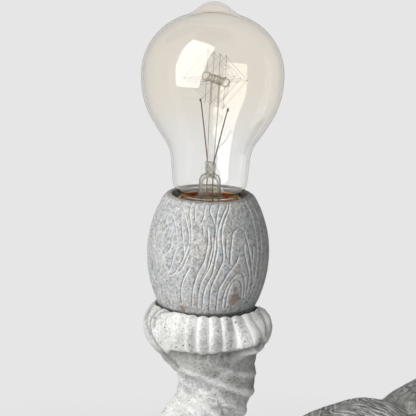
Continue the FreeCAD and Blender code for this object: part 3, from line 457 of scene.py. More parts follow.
def tinted_glass():
    """Blown soda-lime glass with a warm lustre on the globe that fades to clear in the neck.

    A brown tint and a thin dark line are painted at the outline, where the eye looks along the wall, as a
    painted reflection of darker surroundings.
    """
    material, tree, place = new_material("tinted_glass")
    height = add(tree, "SeparateXYZ", {0: place}).outputs["Z"]
    clear_below, tinted_above = (BARREL_FOOT + level * MM for level in (66, 92))
    globe = add(tree, "MapRange", {"Value": height, 1: clear_below, 2: tinted_above},
                interpolation_type="SMOOTHSTEP")
    edge = add(tree, "LayerWeight", {"Blend": 0.5})
    rim = add(tree, "Math", {0: edge.outputs["Facing"], 1: 4.5}, operation="POWER")
    face = add(tree, "Mix", {"Factor": globe, 6: "#FDFDFC", 7: "#FAF6EF"}, data_type="RGBA")
    colour = add(tree, "Mix", {"Factor": rim, 6: face.outputs[2], 7: "#5E4E3A"}, data_type="RGBA")
    shader = add(tree, "BsdfPrincipled", {
        "Base Color": colour.outputs[2], "Roughness": 0.0, "IOR": 1.5, "Transmission Weight": 1.0,
    })
    # A thin dark line painted at the outline
    line = add(tree, "MapRange", {"Value": edge.outputs["Facing"], 1: 0.8, 2: 0.97, 4: 0.6})
    painted_dark_outline = add(tree, "BsdfDiffuse", {"Color": "#A08C74"})
    outlined = add(tree, "MixShader", {0: line, 1: shader, 2: painted_dark_outline})
    add(tree, "OutputMaterial", {"Surface": outlined})
    return material


def clear_glass():
    """Drawn lead glass: clear, with a painted grey green outline for the dark edge that rods and beads show
    against white.

    Seen through rather than refracted, because light can't leave so thin a rod in a few bends.
    """
    material, tree, _ = new_material("drawn_lead_glass")
    edge = add(tree, "LayerWeight", {"Blend": 0.5})
    # The grey green outline and its cover are painted
    rim = add(tree, "MapRange", {"Value": edge.outputs["Facing"], 1: 0.3, 2: 0.75})
    colour = add(tree, "Mix", {"Factor": rim, 6: "#EFE6CC", 7: "#2E2F2A"}, data_type="RGBA")
    cover = add(tree, "MapRange", {"Value": rim, 3: 0.06, 4: 0.9})
    shader = add(tree, "BsdfPrincipled", {
        "Base Color": colour.outputs[2], "Roughness": 0.04, "IOR": 1.55, "Alpha": cover,
    })
    add(tree, "OutputMaterial", {"Surface": shader})
    return material


def plain_material(name, dark, light, grit, roughness, bump_height=0.05, stretch=(1, 1, 1), **shader_inputs):
    """Two close tones mixed by a fine noise that is also the surface's relief.

    Its size in millimetres is coarser than the real finish where that is too fine to show.
    """
    material, tree, place = new_material(name)
    stretched = add(tree, "Mapping", {"Vector": place, "Scale": stretch})
    fine = add(tree, "TexNoise", {
        "Vector": stretched, "Scale": per_metre(grit), "Detail": 4, "Roughness": 0.65,
    })
    spread = add(tree, "MapRange", {"Value": fine, 1: 0.3, 2: 0.7})
    colour = add(tree, "Mix", {"Factor": spread, 6: dark, 7: light}, data_type="RGBA")
    worn = add(tree, "MapRange", {
        "Value": fine, 1: 0.3, 2: 0.7, 3: roughness * 0.85, 4: min(1, roughness * 1.15),
    })
    bump = add(tree, "Bump", {"Strength": 0.5, "Distance": bump_height * MM, "Height": fine})
    inputs = {"Base Color": colour.outputs[2], "Roughness": worn, "Normal": bump}
    inputs.update({name.replace("_", " "): value for name, value in shader_inputs.items()})
    shader = add(tree, "BsdfPrincipled", inputs)
    add(tree, "OutputMaterial", {"Surface": shader})
    return material


# The elephant's skin

SKIN_NODES = ["body_casting", "head_casting", "trunk_casting", "ear_left", "ear_right", "tail"]

# The trunk's middle line from the brow to the curl, as (x, z) from the barrel's foot
TRUNK_LINE = [
    (47, -101), (31, -117), (13, -127.5), (-7, -127.5), (-21, -115), (-26, -96), (-19.5, -77),
    (-9.5, -61), (0.6, -48), (4.6, -36), (5.2, -20),
]

# Soft pushes on the curl, the trunk and the brow: centre and shift as (across, forward, up) from the
# barrel's foot, and how far each is felt
PULLS = [
    ((24, 4, -5), (2.4, 0, 1.8), 12), ((-17, 8, -31), (1.8, 0, 0), 9), ((-20, 6, -24), (-1.2, 0, 0), 8),
    ((20, 4, -36), (1.6, 0, 0), 12), ((18, 4, -50), (1.2, 0, 0), 10), ((-13, 4, -48), (-1, 0, 0), 10),
    ((78, -45, -50), (0, 0, 2.4), 26), ((21, 16, -11), (0.8, 5.5, 0), 14),
    ((14, 18, -20), (0, 0, 3.4), 10),
]

# Grooves in the ears as (x, z)
EAR_FOLDS = [
    [(-12, 158), (2, 146), (10, 128), (8, 108)], [(-2, 163), (16, 150), (22, 132), (18, 110)],
    [(-17, 146), (-6, 134), (0, 118), (1, 106)], [(26, 154), (30, 138), (26, 118)],
]

# Middles of the feet as (x, y), and the toenails' turns from straight ahead in degrees
FOOT_MIDDLES = [(2.2, -23), (13.9, 23), (111.9, -23), (100.2, 23)]
TOE_TURNS = (-58, -20, 20, 58)

# The eyes' place as (x, z), and the height above which the ears come down a little
EYE_PLACE = (-50, 149)
EAR_LOWERED = 150

# The mesh is made finer in front of this x, above each of these heights
TRUNK_BACK = -60
FINER_ABOVE = (160, 199)

# Degrees of turn from rib to rib on the curl, millimetres from ring to ring up the trunk, and their depths
RIB_TURN = 11.6
RIB_DEPTH = 0.85
RING_PITCH = 7.7
RING_DEPTH = 0.95

# Folds in the curl as (across, up) from the barrel's rim, seen from in front
CURL_FOLDS = [
    [(-20.8, -44.1), (-23.8, -48.1), (-25.2, -52.3), (-24.9, -55.9), (-23.6, -59.5)],
    [(-16.3, -46.8), (-20.1, -48.7), (-23.2, -52.2), (-23.9, -55.9), (-23, -59.5), (-20.8, -63.1),
     (-17.7, -66.6), (-14.1, -70.2), (-11.5, -72.9)],
    [(-14.4, -48.9), (-18.8, -49.7), (-21.6, -52.9), (-22.3, -56.3)],
    [(22, -47.4), (23.9, -50), (25.4, -53.6), (25.8, -58.2)],
    [(23.2, -59.8), (24.8, -60.8), (25.5, -62.9)],
]

# Where the curl's underside meets the trunk, written the same way
UNDER_CURL = [
    (-14.4, -67.2), (-10.1, -67.9), (-5.5, -68.4), (-0.5, -68.9), (4, -68.3), (8.6, -67.4), (14.8, -66.4),
    (19.3, -65), (22.2, -63.7), (23.8, -62.1),
]


def draft_skin():
    """The castings' outsides as one closed mesh, finer round the curl."""
    mesh = joined_copy("draft", SKIN_NODES)
    spots = spots_of(mesh)
    ear = (abs(spots[:, 1]) > 29) & (spots[:, 2] > EAR_LOWERED) & (spots[:, 0] < 34)
    spots[:, 2] -= ear * np.maximum(spots[:, 2] - EAR_LOWERED, 0) * 0.3 * ramp(abs(spots[:, 1]), 29, 33)
    move_spots(mesh, spots)
    draft = put_in("draft", mesh)
    remesh = draft.modifiers.new("remesh", "REMESH")
    remesh.mode = "VOXEL"
    remesh.voxel_size = 1.1 * MM
    graph = bpy.context.evaluated_depsgraph_get()
    mesh = bpy.data.meshes.new_from_object(draft.evaluated_get(graph))
    bpy.data.objects.remove(draft)
    for low in FINER_ABOVE:
        work = bmesh.new()
        work.from_mesh(mesh)
        edges = [edge for edge in work.edges
                 if all(v.co.x < TRUNK_BACK * MM and v.co.z > low * MM for v in edge.verts)]
        bmesh.ops.subdivide_edges(work, edges=edges, cuts=1, use_grid_fill=True)
        work.to_mesh(mesh)
        work.free()
    return mesh


def eased(values, edges, rounds, share):
    """Each value moves a share of the way to the mean of its neighbours, this many times."""
    count = len(values)
    degree = np.bincount(edges.ravel(), minlength=count)[:, None]
    for _ in range(rounds):
        total = np.stack([
            np.bincount(edges[:, 0], values[edges[:, 1], axis], count)
            + np.bincount(edges[:, 1], values[edges[:, 0], axis], count) for axis in range(3)
        ], axis=1)
        values = values + share * (total / degree - values)
    return values


def fitted(spots):
    """1 where another piece or the pads seat on the casting, so that it keeps its shape there."""
    # The barrel's seat, the belly cover's, the hollow, the cord inlet's and the soles, in millimetres
    x, y, z = spots.T
    reach = np.hypot(x - LAMP[0], y)
    seat = (z > LAMP[2] - 1.5) & (reach < 21.2)
    cover = (x > 31) & (x < 77) & (abs(y) < 17.5) & (z < 101)
    inside = (x > 12) & (x < 98) & (abs(y) < 28.5) & (z > 98) & (z < 164)
    gland = (x > 121) & (abs(y) < 10) & (z > 108) & (z < 128)
    return (seat | cover | inside | gland | (z < 3)).astype(float)


def softened(mesh):
    """Eases the draft's steps and fills its sharp inner corners; gives how hollow each place is."""
    edges = np.empty(len(mesh.edges) * 2, dtype=np.int64)
    mesh.edges.foreach_get("vertices", edges)
    edges = edges.reshape(-1, 2)
    spots = spots_of(mesh)
    free = 1 - fitted(spots)[:, None]
    spots = eased(spots, edges, 4, 0.5 * free)
    move_spots(mesh, spots)
    normals = spots_of(mesh, "normal")
    wide = eased(spots, edges, 40, 0.6 * free)
    sunk = np.sum((wide - spots) * normals, axis=1)
    spots = spots + (wide - spots) * (ramp(sunk, 0.1, 1.2)[:, None] * free)
    spots = eased(spots, edges, 2, 0.5 * free)
    move_spots(mesh, spots)
    return eased(np.repeat(sunk[:, None], 3, axis=1), edges, 6, 0.5)[:, 0]


def pulled(spots):
    """The form pushed a little here and there, as clay is before it is cast."""
    local = np.stack([(spots - LAMP) @ ACROSS, (spots - LAMP) @ FORWARD, spots[:, 2] - LAMP[2]], axis=1)
    for centre, (sideways, onward, upward), span in PULLS:
        gap = np.linalg.norm(local - centre, axis=1)
        share = 1 - ramp(gap, span * 0.2, span)
        spots = spots + share[:, None] * (sideways * ACROSS + onward * FORWARD + (0, 0, upward))
    return spots


def along_trunk(spots):
    """How far up the trunk each place is, in millimetres from the brow, and how far from its middle line."""
    line = smooth_line([(LAMP[0] + x, LAMP[2] + z) for x, z in TRUNK_LINE], 4)
    flat = spots[:, [0, 2]]
    best = np.full(len(spots), np.inf)
    reach = np.zeros(len(spots))
    start_reach = 0
    for start, end in zip(line, line[1:]):
        along = end - start
        length = np.linalg.norm(along)
        share = np.clip((flat - start) @ along / length ** 2, 0, 1)
        gap = np.linalg.norm(flat - start - share[:, None] * along, axis=1)
        nearer = gap < best
        best[nearer] = gap[nearer]
        reach[nearer] = start_reach + share[nearer] * length
        start_reach += length
    return reach, np.hypot(best, spots[:, 1])


def seen_from_front(spots):
    """Each place as (across, up) from the barrel's rim, as the eye in front of the lamp has it."""
    rim = LAMP + (0, 0, AIM_HEIGHT)
    drop = math.atan2(EYE_HEIGHT / MM - rim[2], EYE_DISTANCE / MM)
    towards = FORWARD * math.cos(drop) + np.array([0, 0, math.sin(drop)])
    up = np.array([0, 0, math.cos(drop)]) - FORWARD * math.sin(drop)
    away = np.hypot(EYE_HEIGHT / MM - rim[2], EYE_DISTANCE / MM)
    spots = spots - rim
    spread = away / (away - spots @ towards)
    return np.stack([spots @ ACROSS * spread, spots @ up * spread], axis=1), towards


def toenails(spots):
    """How deep the groove round each toenail is, and where the nails are."""
    groove = np.zeros(len(spots))
    nail = np.zeros(len(spots))
    for middle in FOOT_MIDDLES:
        x, y = (spots[:, :2] - middle).T
        turn = np.degrees(np.arctan2(y, -x))
        near = np.hypot(x, y) < 27
        for toe in TOE_TURNS:
            size = np.hypot((turn - toe) * 0.34 / 5.2, (spots[:, 2] - 2) / 10.5)
            groove += near * np.exp(-((size - 1) / 0.14) ** 2)
            nail += near * (1 - ramp(size, 0.85, 1))
    return groove * (spots[:, 2] < 16), nail


def curl_ribs(spots):
    """Ribs across the curl, strongest in front: how deep they are cut, and the wash on them, with painted
    light on the curl's end and painted shade under the curl.
    """
    reach, facing, z = round_lamp(spots)
    wobble = noise(spots, 9, 3) * 1.6
    rib = np.abs(np.sin(np.pi * (facing - 3.3 + wobble) / RIB_TURN))
    on_curl = ramp(z, -22, -16) * ramp(reach, 15, 19)
    left_lobe = ramp(facing, -110, -60) * (1 - ramp(facing, -34, -22))
    tip_end_painted_light = ramp(facing, 34, 44) * (1 - ramp(facing, 80, 100))
    strong = 0.42 + 0.58 * ramp(facing, -24, -10) * (1 - ramp(facing, 30, 44))
    strong = strong * (1 - 0.8 * left_lobe)
    cut = on_curl * strong * (1 - rib) * RIB_DEPTH
    # The curl's end gets whiter wash and painted light where it turns from the lamp; the band under the curl
    # gets painted shade
    chalk = on_curl * (strong * (0.7 * (1 - rib) - 0.2 * rib) + 0.12 * left_lobe + 0.8 * tip_end_painted_light)
    return cut, chalk - 0.3 * ramp(z, -40, -32) * (1 - ramp(z, -21, -16))


def trunk_rings(spots):
    """Rings round the trunk: narrow crests that dip to the right, with shallow hollows between."""
    across = (spots - LAMP) @ ACROSS
    run, off_line = along_trunk(spots)
    phase = (run + 0.33 * across + noise(spots, 14, 5) * 1.3 + noise(spots, 4, 6) * 0.5 - 1.1) / RING_PITCH
    crest = np.exp(-((phase - np.round(phase)) / 0.19) ** 2)
    on_trunk = 1 - ramp(spots[:, 2] - LAMP[2], -27, -21)
    on_trunk = on_trunk * (1 - ramp(off_line, 24, 32)) * ramp(run, 24, 60)
    side = 0.35 + 0.65 * ramp(across, -6, 9)
    patchy = ramp(noise(spots, 7, 8) + 0.6 * noise(spots, 2.6, 9), -0.7, 0.2)
    cut = on_trunk * side * (1 - crest) * RING_DEPTH
    return cut, on_trunk * (side * (1.1 * crest - 0.34) * patchy + 0.16), on_trunk


def curl_folds(spots, normals):
    """How deep the folds of the curl's ends are, and the line where its underside meets the trunk."""
    plane, towards = seen_from_front(spots)
    front = ramp(normals @ towards, -0.15, 0.1)
    fold = cut_along(CURL_FOLDS, plane, 0.55) * front * ramp(spots[:, 2] - LAMP[2], -40, -34)
    return fold, cut_along([UNDER_CURL], plane, 1.1) * front


def hide_marks(spots, on_trunk):
    """Slack folds and their wash, and where the strokes of the crown and the body's cracks lie."""
    x, y, z = spots.T
    body = np.clip(ramp(x, -66, -50) + (1 - ramp(z, 120, 150)) * 0.6, 0, 1)
    crown = ramp(z, 158, 176)
    behind = ramp(x, -14, 2)
    sag = np.stack([x / 7, y / 30, z / 26], axis=1)
    cut = body * ramp(noise(sag, 1, 14), 0.1, 0.7) * 0.6
    chalk = body * (0.1 + 0.14 * crown - 0.27 * crown * behind)
    # Strokes run down and back from the crown and the spine, 1.15 mm wide and 4.5 mm long
    round_back = np.abs(np.arctan2(y, z - 120)) * 45
    hide = np.stack([(round_back - 0.8 * x) / 1.15, (0.78 * x + 0.6 * round_back) / 4.5, y / 40], axis=1)
    wrinkled = body * ramp(noise(spots, 15, 12), -0.6, 0) * (0.1 + 0.9 * crown * (1 - 0.85 * behind))
    crazed = body * (1 - 0.85 * crown * (1 - behind)) * ramp(noise(spots, 22, 17), -0.7, 0.2)
    crazed = crazed + 0.55 * on_trunk * ramp(noise(spots, 9, 18), -0.3, 0.4)
    return cut, chalk, {"wrinkled": wrinkled, "crazed": crazed, "hide": hide}


def small_forms(spots, normals):
    """Toenails, folds of the ears, lids, and the wash that catches on the tail."""
    x, y, z = spots.T
    groove, nail = toenails(spots)
    on_ear = (np.abs(y) > 36) * (x < 36) * ramp(normals[:, 1] * np.sign(y), 0.2, 0.5)
    ear_fold = cut_along(EAR_FOLDS, spots[:, [0, 2]], 1.5) * on_ear * (z > 92)
    to_eye = np.hypot((x - EYE_PLACE[0]) / 1.35, z - EYE_PLACE[1])
    lids = np.exp(-((to_eye - 4.6) / 0.8) ** 2) * (np.abs(y) > 15)
    tail_wash = 0.42 * ramp(x, 137.6, 140) * (0.8 + 0.3 * noise(spots, 4, 41))
    cut = groove * 0.7 + ear_fold * 0.9 + lids * 0.9
    return cut, tail_wash + nail * 0.35 - groove * 0.3 - ear_fold * 0.3


def carve_skin(mesh, hollow):
    """Cuts the ribs, rings, folds and hide lines, all inward, and says where the white wash lies and where
    shade is painted.
    """
    spots = pulled(spots_of(mesh))
    reach, _, z = round_lamp(spots)
    lip = np.exp(-((reach - 23.8) / 1.7) ** 2) * ramp(z, -5, -1) * ramp((spots - LAMP) @ FORWARD, 4, 14)
    spots = spots + lip[:, None] * (0, 0, 1.5)
    move_spots(mesh, spots)
    normals = spots_of(mesh, "normal")

    rib_cut, curl_wash_with_painted_light_and_shade = curl_ribs(spots)
    ring_cut, ring_chalk, on_trunk = trunk_rings(spots)
    fold, under = curl_folds(spots, normals)
    slack_cut, slack_chalk, marks = hide_marks(spots, on_trunk)
    form_cut, form_chalk = small_forms(spots, normals)
    # The seat's edge is cut in a little and carries a painted shadow line
    seat_edge = np.exp(-((reach - 21.4) / 0.5) ** 2) * ramp(spots[:, 2] - LAMP[2], -2, -0.5)
    roughness = (noise(spots, 2.2, 21) + 1) * 0.09 + (noise(spots, 5.5, 22) + 1) * 0.14
    cut = rib_cut + ring_cut + fold * 0.5 + under * 1.3 + slack_cut + seat_edge * 0.8 + form_cut + roughness
    moved = spots - normals * (cut * (1 - fitted(spots)))[:, None]
    low, high = (np.array(corner) / MM for corner in cad_box)
    move_spots(mesh, np.clip(moved, low, high))

    chalk = ramp(-spots[:, 0], 58, 80) * ramp(spots[:, 2], 135, 180) * 0.62
    chalk += curl_wash_with_painted_light_and_shade + ring_chalk + slack_chalk + form_chalk - fold * 0.4
    # Painted shade in the hollows, in the folds and under the curl, and a painted shadow line at the barrel's
    # seat
    shade = np.maximum(ramp(hollow, 0.15, 1.3) * (0.65 + 0.45 * noise(spots, 2.5, 31)), 0)
    tell(mesh, "chalk", np.clip(chalk, -0.5, 1.2))
    tell(mesh, "hollow", np.clip(shade + 2 * seat_edge + 0.35 * fold + 0.75 * under, 0, 2))
    for name, values in marks.items():
        tell(mesh, name, values)
    return moved


def make_skin():
    """The elephant's skin in one piece over all its castings."""
    mesh = draft_skin()
    hollow = softened(mesh)
    spots = carve_skin(mesh, hollow)
    skin = new_piece("elephant_skin", mesh, "lamp", washed_casting())
    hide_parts(*SKIN_NODES)
    make_eyes(spots)


def make_eyes(skin_spots):
    """Two dark glazed balls, sunk in the lids."""
    ball = [(0, -3.2)] + bow((0.4, -3.15), (0.4, 3.15), 3.2, 12)[1:] + [(0, 3.2)]
    eyes = []
    x, z = EYE_PLACE
    near = (np.abs(skin_spots[:, 0] - x) < 1.5) & (np.abs(skin_spots[:, 2] - z) < 1.5)
    for side in (-1, 1):
        cheek = skin_spots[near & (skin_spots[:, 1] * side > 0)][:, 1] * side
        middle = np.array([x, side * (cheek.max() - 1.7), z])
        eyes.append(turned("eye", ball, 28, closed=False,
                           place=lambda spots: spots * (1.15, 1, 0.9) + middle))
    glaze = plain_material("dark_glaze", "#17130F", "#2A221B", 0.8, 0.16)
    new_piece("eyes", joined("eyes", eyes), "lamp", glaze)


# The barrel

# Millimetres to a degree of turn, at a radius of 25 mm
GIRTH = math.radians(25)

# The carved grain as (degrees round from the front, height above the barrel's foot)
GRAIN = [
    [(-46, 41.8), (-59, 40.8), (-66, 37.3), (-67, 32.6), (-62, 27.8), (-55, 24.3), (-48, 21.5), (-41, 18.7),
     (-36, 21.4), (-34, 25.3), (-31, 29.1), (-31, 32.4), (-35, 36.2), (-40, 39.6), (-46, 41.8)],
    [(-65, 35.1), (-62, 30.9), (-53, 26.6), (-47, 25), (-41, 27.1), (-38, 29.9), (-38, 33.5)],
    [(-66, 27.4), (-59, 23.3), (-50, 20), (-43, 16.9), (-34, 17.8), (-28, 21.2), (-23, 25.7), (-24, 30.8),
     (-27, 35.6), (-31, 40.4), (-33, 45.8)],
    [(-23, 25.7), (-20, 29.9), (-19, 33), (-21, 36.9), (-26, 41.1), (-32, 45.2)],
    [(-23, 46.7), (-23, 43.6), (-19, 39.4), (-17, 34.1), (-17, 29.1), (-20, 25.3), (-24, 20.9), (-30, 18.4)],
    [(-17, 47.1), (-17, 44.3), (-15, 41)],
    [(-74, 24.5), (-70, 18.5), (-64, 12.6), (-59, 7.6), (-51, 3.9)],
    [(-66, 18.9), (-61, 14.1), (-53, 9.9), (-44, 5.7), (-44, 2.8)],
    [(-54, 14.8), (-46, 10.5), (-36, 8.1)],
    [(-17, 21.3), (-23, 16.2), (-26, 11.6), (-27, 5.2)],
    [(6, 47.5), (1, 45.1), (5, 41.3), (7, 37.5), (6, 32.6), (5, 27.5), (2, 22.3), (-4, 16.9), (-8, 11.8),
     (-10, 4.2)],
    [(14, 47.2), (10, 43.7), (8, 39.9), (8, 35.5), (9, 31.1), (7, 25.5), (5, 20.2), (1, 15.9), (-3, 11.4),
     (-5, 3.8)],
    [(25, 47.6), (18, 44.3), (13, 40.8), (10, 37.5), (9, 33.6)],
    [(27, 47.2), (22, 44), (17, 40.8), (14, 37.4), (13, 33), (14, 28.5), (14, 24.4), (10, 20.2), (6, 15.9),
     (3, 10.3), (3, 3.3)],
    [(-1, 37.9), (0, 33.5), (-1, 29), (-3, 24.9), (-7, 21.1), (-11, 16.7), (-14, 12.2), (-16, 4.6)],
    [(3, 35), (4, 31.1), (2, 26.5), (-1, 21.2), (-6, 16.3), (-7, 12.9)],
    [(-6, 38.8), (-5, 34.9)],
    [(18, 33.5), (17, 29.4), (18, 26.4)],
    [(21, 23.9), (22, 28.8), (24, 32.8), (25, 35.7), (29, 37.4), (34, 37.8), (38, 36.2), (40, 33.1),
     (42, 29), (44, 24.7), (46, 20.3), (49, 15.2), (50, 10.7)],
    [(30, 26.7), (28, 24.2), (23, 21.5), (19, 19.1), (16, 16.3), (12, 13.4), (11, 9.1), (11, 3.3)],
    [(37, 30.7), (37, 26.6), (40, 22.3), (43, 18.4), (44, 13.9), (44, 8.3)],
    [(34, 19.3), (28, 18.7), (23, 16.2), (19, 13), (17, 8.5), (17, 3.8)],
    [(34, 19.3), (38, 16.5), (40, 12.5), (41, 8)],
    [(31, 16.4), (25, 15.3), (22, 12.3), (21, 8.4), (21, 4.3)],
    [(31, 16.4), (35, 14.2), (37, 11), (37, 8.2)],
    [(53, 47.9), (54, 44.2), (55, 39.7), (54, 34.8), (54, 29.6), (53, 24.5), (52, 19.3), (51, 14.5),
     (49, 9.1)],
    [(63, 47.5), (65, 45.8), (65, 41), (64, 36.1), (62, 30.6), (60, 23.9), (59, 17.6), (57, 12.3), (54, 7.5)],
    [(75, 44.6), (74, 39.4), (72, 34.3), (70, 28.3), (68, 22.1), (67, 15.8), (63, 6)],
    [(82, 46), (81, 35), (79, 24), (77, 13), (73, 4)],
    [(48, 29.1), (47, 24.4), (46, 20.3)],
    [(-58, 46.9), (-59, 44), (-60, 42)],
    [(-43, 46.4), (-43, 44.6), (-42, 42.9)],
    [(-5, 45.9), (-6, 42.2), (-8, 40.2)],
    [(-80, 46), (-82, 34), (-81, 22), (-78, 12), (-72, 4)],
    [(-74, 46), (-75, 38), (-74, 30)],
]
RUST_SPOTS = [((30, 7.4), 3.4), ((28, 12.4), 2), ((-27, 2.7), 2.2), ((168, 20), 3), ((120, 6), 2.5)]


def barrel_profile():
    """The barrel's wall from its foot up the bulging side, over the lip and down the bore."""
    top = BARREL_TOP / MM
    foot = [(18, 0), (19.4, 0), (20.1, 0.25), (20.5, 0.7)]
    side = bow((20.9, 1.6), (19.5, 45.7), 48, 170)
    lip = [(19.5, 45.7), (19.1, 46.2), (18.4, 47), (17.6, 47.4), (16.8, top), (16.1, top), (15.7, top - 0.15)]
    bore = [(15.6, top - 0.5), (15.6, top - 3.6), (18, top - 6.6), (18, 24)]
    return foot + side + lip + bore


def make_barrel():
    """The barrel with its grain cut in, its wash, painted light and shade on the walls of its cuts, painted
    shade in its bore and at its foot, and its rust.
    """
    mesh = turned("grained_barrel", barrel_profile(), 620)
    spots = spots_of(mesh)
    normals = spots_of(mesh, "normal")
    reach, facing, z = round_lamp(spots)
    outside = reach > 18.3
    # The back half is cut with the same lines as the front, turned over at the two sides
    at_back = np.abs(facing) > 90
    folded = np.where(at_back, np.sign(facing) * 180 - facing, facing)
    waver = np.stack([noise(spots, 6, seed) for seed in (41, 42)], axis=1)
    waver *= np.where(at_back, 1.5, 0.2)[:, None]
    places = np.stack([folded * GIRTH, z], axis=1) + waver
    lines = [[(turn * GIRTH, height) for turn, height in line] for line in GRAIN]
    broken = ramp(noise(spots, 3.5, 43), -0.9, -0.2)
    groove = cut_along(lines, places, 0.36) * (0.55 + 0.45 * broken)
    ripple = (noise(np.stack([places[:, 0], z / 9, z * 0], axis=1), 1.7, 44) + 1) / 2
    cut = outside * (groove * 0.42 + ripple * 0.14 + (noise(spots, 1.2, 45) + 1) * 0.035)
    move_spots(mesh, spots - normals * cut[:, None])
    stain = np.zeros(len(spots))
    for (turn, height), size in RUST_SPOTS:
        gap = np.hypot((facing - turn) * GIRTH, (z - height) * 0.8) + noise(spots, 2, 46) * 1.2
        stain = np.maximum(stain, 1 - ramp(gap, size * 0.5, size))
    # The wash lies in each cut as painted light on the wall that faces the lamp, up to twice as strong on the
    # left side, and painted shade lies on the other wall
    wash_and_painted_light = cut_along(lines, places - (0.2, 0), 0.22) * (0.2 + 0.45 * broken) * (2 - ramp(facing, -32, -8))
    painted_wall_shade = cut_along(lines, places + (0.22, 0), 0.18) * (0.12 + 0.38 * broken)
    # Painted shadow along the foot where it meets the curl, and painted shade over the inside of the bore
    painted_foot_shadow = 1 - ramp(z, 0.3, 1.3)
    tell(mesh, "chalk", outside * np.minimum(wash_and_painted_light, 1))
    tell(mesh, "shade", np.where(outside, np.maximum(painted_wall_shade, painted_foot_shadow), 0.4))
    tell(mesh, "stain", outside * stain * 0.75)
    barrel = new_piece("grained_barrel", mesh, "lamp", carved_barrel())
    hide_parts("barrel_shade")


# The bulb

# Heights above the barrel's foot, and places and reaches of the wires on the bar
CAP_RIM = 45.2
THREAD_PITCH = 3.63
LEAD_TOP = 85.3
HUB_HEIGHT = 95.8
SUPPORT_PLACES = (-7.5, -2.5, 2.5, 7.5)
SUPPORT_REACH = 10


def glass_profile():
    """Outside of the glass from its foot to its tip, then the inside back down, a wall further in."""
    wall = 0.8
    outer = [(11.8, 40.8), (11.8, 42.5), (11.8, 45)]
    outer += bow((11.8, 47.3), (12.4, 47.7), 2, 2) + bow((12.4, 47.7), (15.5, 52.4), 7, 8)
    outer += [(15.5, 52.4), (15.9, 56.8)] + bow((16.3, 61.3), (18.7, 69.5), -17.6, 8)
    outer += [(18.7, 69.5), (21.6, 73.8)]
    outer += bow((24.2, 78.1), (29.4, 95), 33, 22) + bow((29.4, 95), (12.8, 121.6), 25.5, 48)
    outer += bow((12.8, 121.6), (7, 125), -16, 16)
    tip = bow((7, 125), (0, 128), 10, 16) + [(0, 128)]
    edge = np.array(outer + tip[:-1])
    along = np.gradient(edge, axis=0)
    along /= np.linalg.norm(along, axis=1)[:, None]
    inner = edge - np.stack([along[:, 1], -along[:, 0]], axis=1) * wall
    inner = inner[inner[:, 0] > 0.4]
    return outer + tip + [(0, inner[-1][1] + 0.02)] + [tuple(spot) for spot in inner[::-1]]


def make_glass():
    """The blown glass with its sealed tip."""
    mesh = turned("bulb_glass", glass_profile(), 160)
    glass = new_piece("bulb_glass", mesh, "bulb", tinted_glass())
    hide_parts("glass_envelope")


def on_hub(y):
    """A point of the bar's axis at the lamp's own y, in millimetres."""
    return LAMP + (0, y, HUB_HEIGHT)


def leaned(mesh):
    """The mount leans a little, as one pressed by hand does."""
    spots = spots_of(mesh)
    move_spots(mesh, spots + np.maximum(spots[:, 2:] - LAMP[2] - 60, 0) * 0.036 * ACROSS)


def make_stem():
    """The glass tube in the neck, pinched flat on the wires, its rod, and the beaded bar on top."""
    tube = [(11.6, 41), (11.6, 42), (8.4, 43.4), (5.4, 46), (4.6, 49), (4.5, 53.6), (3.7, 55.4), (1.6, 56.4),
            (0, 56.6)]
    inside = [(0, 55.4), (2.8, 54.4), (3.8, 52.4), (3.9, 49), (4.8, 45.4), (8, 42.2), (11, 41)]
    rod = [(0, 57), (1.5, 57.4), (1.45, 62), (1.9, 80), (2, HUB_HEIGHT - 1), (0, HUB_HEIGHT)]
    half = [(1.45, 0), (1.45, 1), (1.8, 1.6), (1.8, 2.4), (1.5, 3), (1.5, 5.8), (1.9, 6.6), (2, 7.6),
            (1.8, 8.6), (1.2, 8.9), (0, 8.9)]
    bar = [(reach, -place) for reach, place in half[:0:-1]] + half
    mesh = joined("stem", [
        turned("tube", tube + inside, 48),
        turned("rod", rod, 24, closed=False),
        turned("bar", bar, 28, closed=False, place=lambda spots: spots[:, [0, 2, 1]] + on_hub(0)),
    ])
    leaned(mesh)
    stem = new_piece("glass_mount", mesh, "bulb", clear_glass())
    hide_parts("glass_stem")
    pinch = [(0, 54.6), (3.6, 54.8), (3.3, 56.2), (3.8, 60.4), (3.3, 61.1), (0, 61.3)]
    mesh = turned("pinch", pinch, 40, closed=False, place=lambda spots: spots * (0.42, 1, 1) + LAMP)
    scorched = plain_material("scorched_glass", "#15100C", "#F4ECDC", 1.3, 0.12, Alpha=0.6)
    new_piece("pinched_glass", mesh, "bulb", scorched)


def wire_piece(name, lines, radius, material):
    """Wires that lean with the mount."""
    mesh = wires(name, lines, radius)
    leaned(mesh)
    return new_piece(name, mesh, "bulb", material)


def make_supports():
    """Four crosses of fine wire in the bar, each tip curled round the filament."""
    arms = []
    for y in SUPPORT_PLACES:
        for x, z in ((1, 0), (-1, 0), (0, 1), (0, -1)):
            way = np.array([x, 0, z])
            tip = on_hub(y) + way * SUPPORT_REACH
            hook = [tip + way * 0.9, tip + way * 1.2 + (0, 0.5, 0), tip + way * 0.7 + (0, 0.7, 0)]
            arms.append([on_hub(y) + way * 1.2, tip] + hook)
    molybdenum = plain_material("molybdenum_wire", "#4E4A45", "#6E6962", 0.8, 0.4, Metallic=1.0)
    supports = wire_piece("support_wires", arms, 0.075, molybdenum)
    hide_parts("filament_supports")


